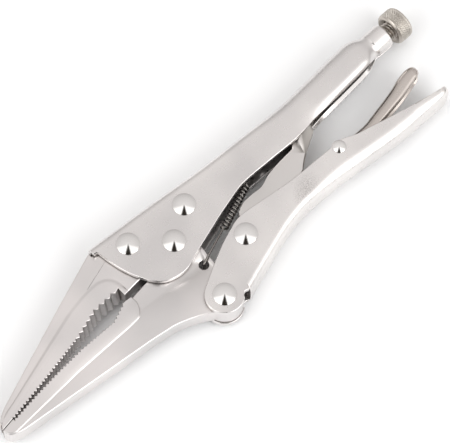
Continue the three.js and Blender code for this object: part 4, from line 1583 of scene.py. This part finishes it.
@dataclass
class AdjustingScrew(Assembly):
    """Threaded rod and its knurled knob."""

    standoff: float = 3.4
    tip_distance: float = 42.4
    pitch: float = 1.25
    thread_depth: float = 0.85
    knob_radius: float = 6.85
    knob_length: float = 6.9
    knurls: int = 38
    knurl_depth: float = 0.42
    knob_dish: float = 1.9
    end_gap: float = 0.06
    bore_gap: float = 0.12

    def build(self) -> None:
        """Makes the rod and the knob."""
        self.build_rod()
        self.build_knob()

    def build_rod(self) -> None:
        """Cuts a helical thread as a height over the rod's surface."""
        tool = self.tool
        crest = tool.screw_radius
        root = crest - self.thread_depth
        axis = tool.screw_axis
        start = tool.boss_face - axis * self.tip_distance
        length = self.tip_distance + self.standoff + self.knob_dish - self.end_gap

        def thread(angle: float, height: float) -> float:
            """Rounded V of the thread.

            Args:
                angle: Angle round the rod.
                height: Height along it.

            Returns:
                The radius there.
            """
            phase = (height / self.pitch - angle / FULL_TURN) % 1.0
            wave = 1 - abs(2 * phase - 1)
            runout = smoothstep(height, 4.2, 6.0)
            return crest - self.thread_depth * runout * min(1.0, max(0.0, 1.25 * wave - 0.12))

        tip = 0.7 * crest
        rows: list[Row] = [(0.0, 0.05), (0.0, tip - 0.5), (0.5, tip), (3.2, tip), (4.2, root + 0.2)]
        heights = steps(4.3, length - 0.1, round((length - 4.4) / (self.pitch / 9)))
        rows += [(h, lambda a, h=h: thread(a, h)) for h in heights]
        piece = self.turned("adjusting_screw_thread", start, rows, sides=40, sharp_angle=60)
        self.hand_over(piece, Body.SCREW, Slot.SCREW, [self.finish.thread], "adjusting_screw")

    def turned(
        self, name: str, start: Vector, rows: Sequence[Row], sides: int, sharp_angle: float
    ) -> bpy.types.Object:
        """A body round the screw's axis.

        Args:
            name: Its name.
            start: Where height 0 is.
            rows: Heights, each with a radius or what gives it at an angle.
            sides: Number of sides.
            sharp_angle: Edges above this many degrees stay sharp.

        Returns:
            The new object.
        """
        axis = self.tool.screw_axis
        maker = MeshMaker(self.tool)
        maker.skin([ring(start + axis * h, UP, axis.cross(UP), radius, sides) for h, radius in rows])
        return maker.piece(name, sharp_angle=sharp_angle)

    def build_knob(self) -> None:
        """Turns the knob with its dished front and cuts the diamond knurl round it."""
        radius, length = self.knob_radius, self.knob_length
        bore = self.tool.screw_radius + self.bore_gap
        knurl_start, knurl_end = 0.85, length - 0.95

        def knurl(angle: float, height: float) -> float:
            """Diamond knurl of the band.

            Args:
                angle: Angle round the knob.
                height: Height along it.

            Returns:
                The radius there.
            """
            turn = angle * self.knurls / FULL_TURN
            lean = height * self.knurls / (FULL_TURN * radius) * 1.15
            dents = [abs(((turn + sign * lean) % 1.0) - 0.5) * 2 for sign in (-1, 1)]
            fade = smoothstep(height, knurl_start, knurl_start + 0.35) * (
                1 - smoothstep(height, knurl_end - 0.3, knurl_end))
            groove = max(0.0, 1 - min(1 - dents[0], 1 - dents[1]) * 2.6)
            return radius - 0.04 - self.knurl_depth * groove * fade - 0.12 * (1 - fade)

        rows: list[Row] = [
            (self.knob_dish, bore), (1.5, bore + 0.2), (0.75, radius - 2.1), (0.12, radius - 1.45),
            (0.02, radius - 1.25), (0.06, radius - 0.95)]
        rows += [(h, lambda a, h=h: knurl(a, h)) for h in steps(knurl_start, knurl_end, 34)]
        rows += [
            (knurl_end + 0.9 * math.sin(a), radius - 0.85 * (1 - math.cos(a)) - 0.18)
            for a in steps(0.25, math.pi / 2, 6)]
        rows += [(length - 0.02, radius - 1.6), (length, 0.05)]
        start = self.tool.boss_face + self.tool.screw_axis * self.standoff
        piece = self.turned("screw_knob_knurled", start, rows, sides=8 * self.knurls, sharp_angle=50)
        self.hand_over(piece, Body.KNOB, Slot.KNOB, [self.finish.knob], "screw_knob")


@dataclass
class OpeningSpring(Assembly):
    """Tension spring from the movable jaw's hole to the upper handle's tab."""

    coil_radius: float = 1.25
    wire_radius: float = 0.44
    coil_pitch: float = 1.5
    coil_start: float = 17.5
    coil_end: float = 37.5
    level: float = 1.6

    def build(self) -> None:
        """Winds one wire: front leg, coil and rear leg."""
        hook, tab = self.tool.spring_hook, self.tool.spring_tab
        along = (tab - hook).normalized()
        beside = UP.cross(along)
        lift = self.tool.web_half + self.wire_radius + 0.15
        span = (tab - hook).length

        def at(distance: float, z: float, off: float = 0.0) -> Vector:
            """A point over the line from hook to tab."""
            return hook + along * distance + beside * off + UP * z

        turns = round((self.coil_end - self.coil_start) / self.coil_pitch)
        distances = steps(self.coil_start, self.coil_end, 16 * turns)
        coil = [
            at(distance, self.level + self.coil_radius * math.cos(a), self.coil_radius * math.sin(a))
            for distance, a in zip(distances, steps(0, FULL_TURN * turns, 16 * turns))]
        front = [at(0, 0.5), at(0.15, lift - 0.6), at(1.6, lift), at(5.5, lift), at(11, 3.9), at(15.5, 3.1)]
        rear = [
            at(self.coil_end + 2.0, 2.0), at(self.coil_end + 5, 0.7), at(span - 1.9, 0), at(span + 1.6, 0)]
        path = bezier_run(front, 8) + coil + bezier_run(rear, 8)
        maker = MeshMaker(self.tool)
        sweep(maker, path, self.wire_radius, sides=10)
        piece = maker.piece("opening_spring_coil", sharp_angle=80)
        self.hand_over(piece, None, Slot.SPRING, [self.finish.wire], "opening_spring")
        tuple(self.tool.place(tab))
        tuple(self.tool.place(hook))
        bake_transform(piece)


@dataclass
class Rivets(Assembly):
    """Domed rivets, five alike and a small one for the lever."""

    head_gap: float = 0.08
    shank: float = 2.5
    pin: float = 1.5

    def build(self) -> None:
        """Sets every rivet at its pivot."""
        for node in ("fixed_jaw_front_rivet", "fixed_jaw_rear_rivet", "jaw_pivot_rivet"):
            self.set_rivet(node, Body.UPPER, self.shank)
        for node in ("handle_pivot_rivet", "link_rivet"):
            self.set_rivet(node, Body.LOWER, self.shank)
        self.set_rivet("lever_rivet", Body.LOWER, self.pin)

    def set_rivet(self, node: str, body: Body, shank: float) -> None:
        """Makes one rivet with a rounded rim and a shallow dome on both sides.

        Args:
            node: The CAD node that gives its place and size.
            body: The body that it rides on.
            shank: Radius of its shank.
        """
        low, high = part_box(node)
        head = (high[0] - low[0]) / 2 / MM
        crown = (high[2] - low[2]) / 2 / MM
        under = self.tool.half_width + self.head_gap
        rim = 0.28
        rise = crown - under - rim
        profile = [(shank, under), (head - 0.25, under), (head - 0.06, under + 0.08), (head, under + rim)]
        for share in reversed(steps(0, 0.97, 18)):
            fall = 0.42 * share + 0.58 * share ** 2.6
            profile.append((head * share, under + rim + rise * (1 - fall)))
        below = [(r, -h) for r, h in reversed(profile)]
        maker = MeshMaker(self.tool)
        lathe(maker, [*below, *profile], self.tool.pivot(node), UP, sides=72)
        # A thin near-black film round each head is painted shadow for the gap under it.
        for side in (-1, 1):
            self.add_shadow_ring(maker, self.tool.pivot(node), head, side)
        piece = maker.piece(f"{node}_dome", sharp_angle=50)
        self.hand_over(piece, body, Slot.RIVET, [self.finish.rivet, self.finish.inside], node)

    def add_shadow_ring(self, maker: MeshMaker, centre: Vector, head: float, side: int) -> None:
        """Adds a painted shadow round a head: a thin dark film on the sheet, where the gap under the head is
        in shade.

        Args:
            maker: Collects the mesh.
            centre: Centre of the rivet.
            head: Radius of its head.
            side: 1 for the side towards +Z, -1 for the other.
        """
        face = self.tool.half_width
        film = (
            (head - 0.4, face + 0.004), (head - 0.4, face + 0.03), (head + 0.1, face + 0.03),
            (head + 0.22, face + 0.004))
        across, beside = Vector((1, 0, 0)), Vector((0, 1, 0))
        loops = [ring(centre + UP * side * z, across, beside, r, 64) for r, z in (*film, film[0])]
        maker.skin(loops, caps=False, tag=INSIDE_TAG)


# ---- studio -------------------------------------------------------------------------------------


@dataclass
class Studio:
    """Pale floor, soft lights and the camera."""

    tool: Tool
    towards_camera: Vector = field(default_factory=lambda: Vector((-0.2555, -0.3366, 0.906)).normalized())
    looked_at: Vector = field(default_factory=lambda: Vector((20.2, -5.0, 5.6)))
    field_width: float = 0.1698
    lens: float = 200.0
    sensor: float = 36.0
    floor_half: float = 4.0
    lamp_distance: float = 1.2
    dark_strip: Triple = (0.03, 0.025, 0.02)
    far_wall: tuple[Stop, ...] = (
        (0.0, (0.30, 0.28, 0.27)), (1.0, (0.93, 0.905, 0.895)), (0.22, (0.62, 0.60, 0.59)))
    near_wall: tuple[Stop, ...] = (
        (0.0, (0.40, 0.38, 0.37)), (1.0, (1.45, 1.43, 1.41)), (0.35, (1.25, 1.23, 1.20)))

    def build(self) -> None:
        """Sets the floor, the world, the lights and the camera."""
        self.build_floor()
        self.build_world()
        self.build_lights()
        self.build_camera()

    @property
    def right(self) -> Vector:
        """The horizontal direction to the camera's right."""
        return Vector((-self.towards_camera.y, self.towards_camera.x, 0)).normalized()

    @property
    def near(self) -> Vector:
        """The horizontal direction towards the camera."""
        return Vector((self.towards_camera.x, self.towards_camera.y, 0)).normalized()

    def build_floor(self) -> None:
        """A large pale floor with a faint unevenness."""
        size = self.floor_half
        mesh = bpy.data.meshes.new("studio_floor")
        corners = [(-size, -size, 0), (size, -size, 0), (size, size, 0), (-size, size, 0)]
        mesh.from_pydata(corners, [], [(0, 1, 2, 3)])
        floor = bpy.data.objects.new("studio_floor", mesh)
        bpy.context.scene.collection.objects.link(floor)
        material, nodes = Nodes.of_material("pale_floor")
        paper = nodes.ramp(nodes.noise(4.0), [(0.3, (0.95, 0.96, 0.97)), (0.7, (0.97, 0.98, 0.99))])
        nodes.link(paper, nodes.shader.inputs["Base Color"])
        nodes.shader.inputs["Roughness"].default_value = 0.8
        nodes.shader.inputs["Specular IOR Level"].default_value = 0.1
        floor.data.materials.append(material)

    def build_world(self) -> None:
        """An even pale room with a dark strip on the camera's side, between the two softboxes."""
        world = bpy.data.worlds.new("pale_room")
        bpy.context.scene.world = world
        world.use_nodes = True
        tree = world.node_tree
        nodes = Nodes(tree)
        nearness = nodes.along(self.near)
        sideways = nodes.maths("ABSOLUTE", nodes.along(self.right))
        wedge = nodes.maths("SUBTRACT", sideways, nodes.maths("MULTIPLY", nearness, 0.30))
        strip = nodes.maths(
            "MULTIPLY", nodes.ranged(nearness, (-0.20, -0.04), (0.0, 1.0)),
            nodes.ranged(wedge, (0.03, 0.13), (1.0, 0.0)))
        height = nodes.along(UP)
        room = nodes.ramp(height, self.far_wall)
        near_half = nodes.ranged(nearness, (-0.18, 0.02), (0.0, 1.0))
        lit = nodes.mixed(near_half, room, nodes.ramp(height, self.near_wall))
        shade = nodes.mixed(strip, lit, self.dark_strip)
        background = next(n for n in tree.nodes if n.type == "BACKGROUND")
        nodes.link(shade, background.inputs["Color"])

    def build_lights(self) -> None:
        """Two large softboxes, one at each side of the camera."""
        self.add_softbox("softbox_right", 52, 36, (1.0, 0.9), 1.9)
        self.add_softbox("softbox_left", -52, 40, (0.8, 0.8), 1.2)

    def add_softbox(self, name: str, turn: float, rise: float, size: Point, radiance: float) -> None:
        """One area light that faces the tool.

        Args:
            name: Name of the light.
            turn: Degrees from the camera's side round to the right.
            rise: Degrees above the floor.
            size: Width and height in metres.
            radiance: Brightness of its face.
        """
        turn, rise = math.radians(turn), math.radians(rise)
        heading = self.near * math.cos(turn) + self.right * math.sin(turn)
        place = self.lamp_distance * (heading * math.cos(rise) + UP * math.sin(rise))
        lamp = bpy.data.lights.new(name, "AREA")
        lamp.shape = "RECTANGLE"
        lamp.size, lamp.size_y = size
        lamp.energy = radiance * math.pi * size[0] * size[1]
        holder = bpy.data.objects.new(name, lamp)
        holder.location = place
        holder.rotation_euler = place.to_track_quat("Z", "Y").to_euler()
        bpy.context.scene.collection.objects.link(holder)

    def build_camera(self) -> None:
        """A long lens that looks down on the tool."""
        data = bpy.data.cameras.new("camera")
        data.lens = self.lens
        data.sensor_width = self.sensor
        camera = bpy.data.objects.new("camera", data)
        distance = self.field_width * self.lens / self.sensor
        target = self.tool.place(self.looked_at)
        camera.location = target + self.towards_camera * distance
        up = self.towards_camera.cross(self.right)
        turn = Matrix((self.right, up, self.towards_camera)).transposed()
        camera.rotation_euler = turn.to_euler()
        bpy.context.scene.collection.objects.link(camera)
        bpy.context.scene.camera = camera
        bpy.context.scene.view_settings.view_transform = "Standard"


def main() -> None:
    """Builds the studio and every sub-assembly in order."""
    logging.basicConfig(level=logging.INFO, format="%(message)s")
    tool = Tool.from_frame()
    finish = Finish(tool)
    Studio(tool).build()
    for kind in (
        UpperHandle, FixedJaw, MovableJaw, LowerHandle, ToggleLink, ReleaseLever, AdjustingScrew,
        OpeningSpring, Rivets,
    ):
        kind(tool, finish).build()


if __name__ == "__main__":
    main()
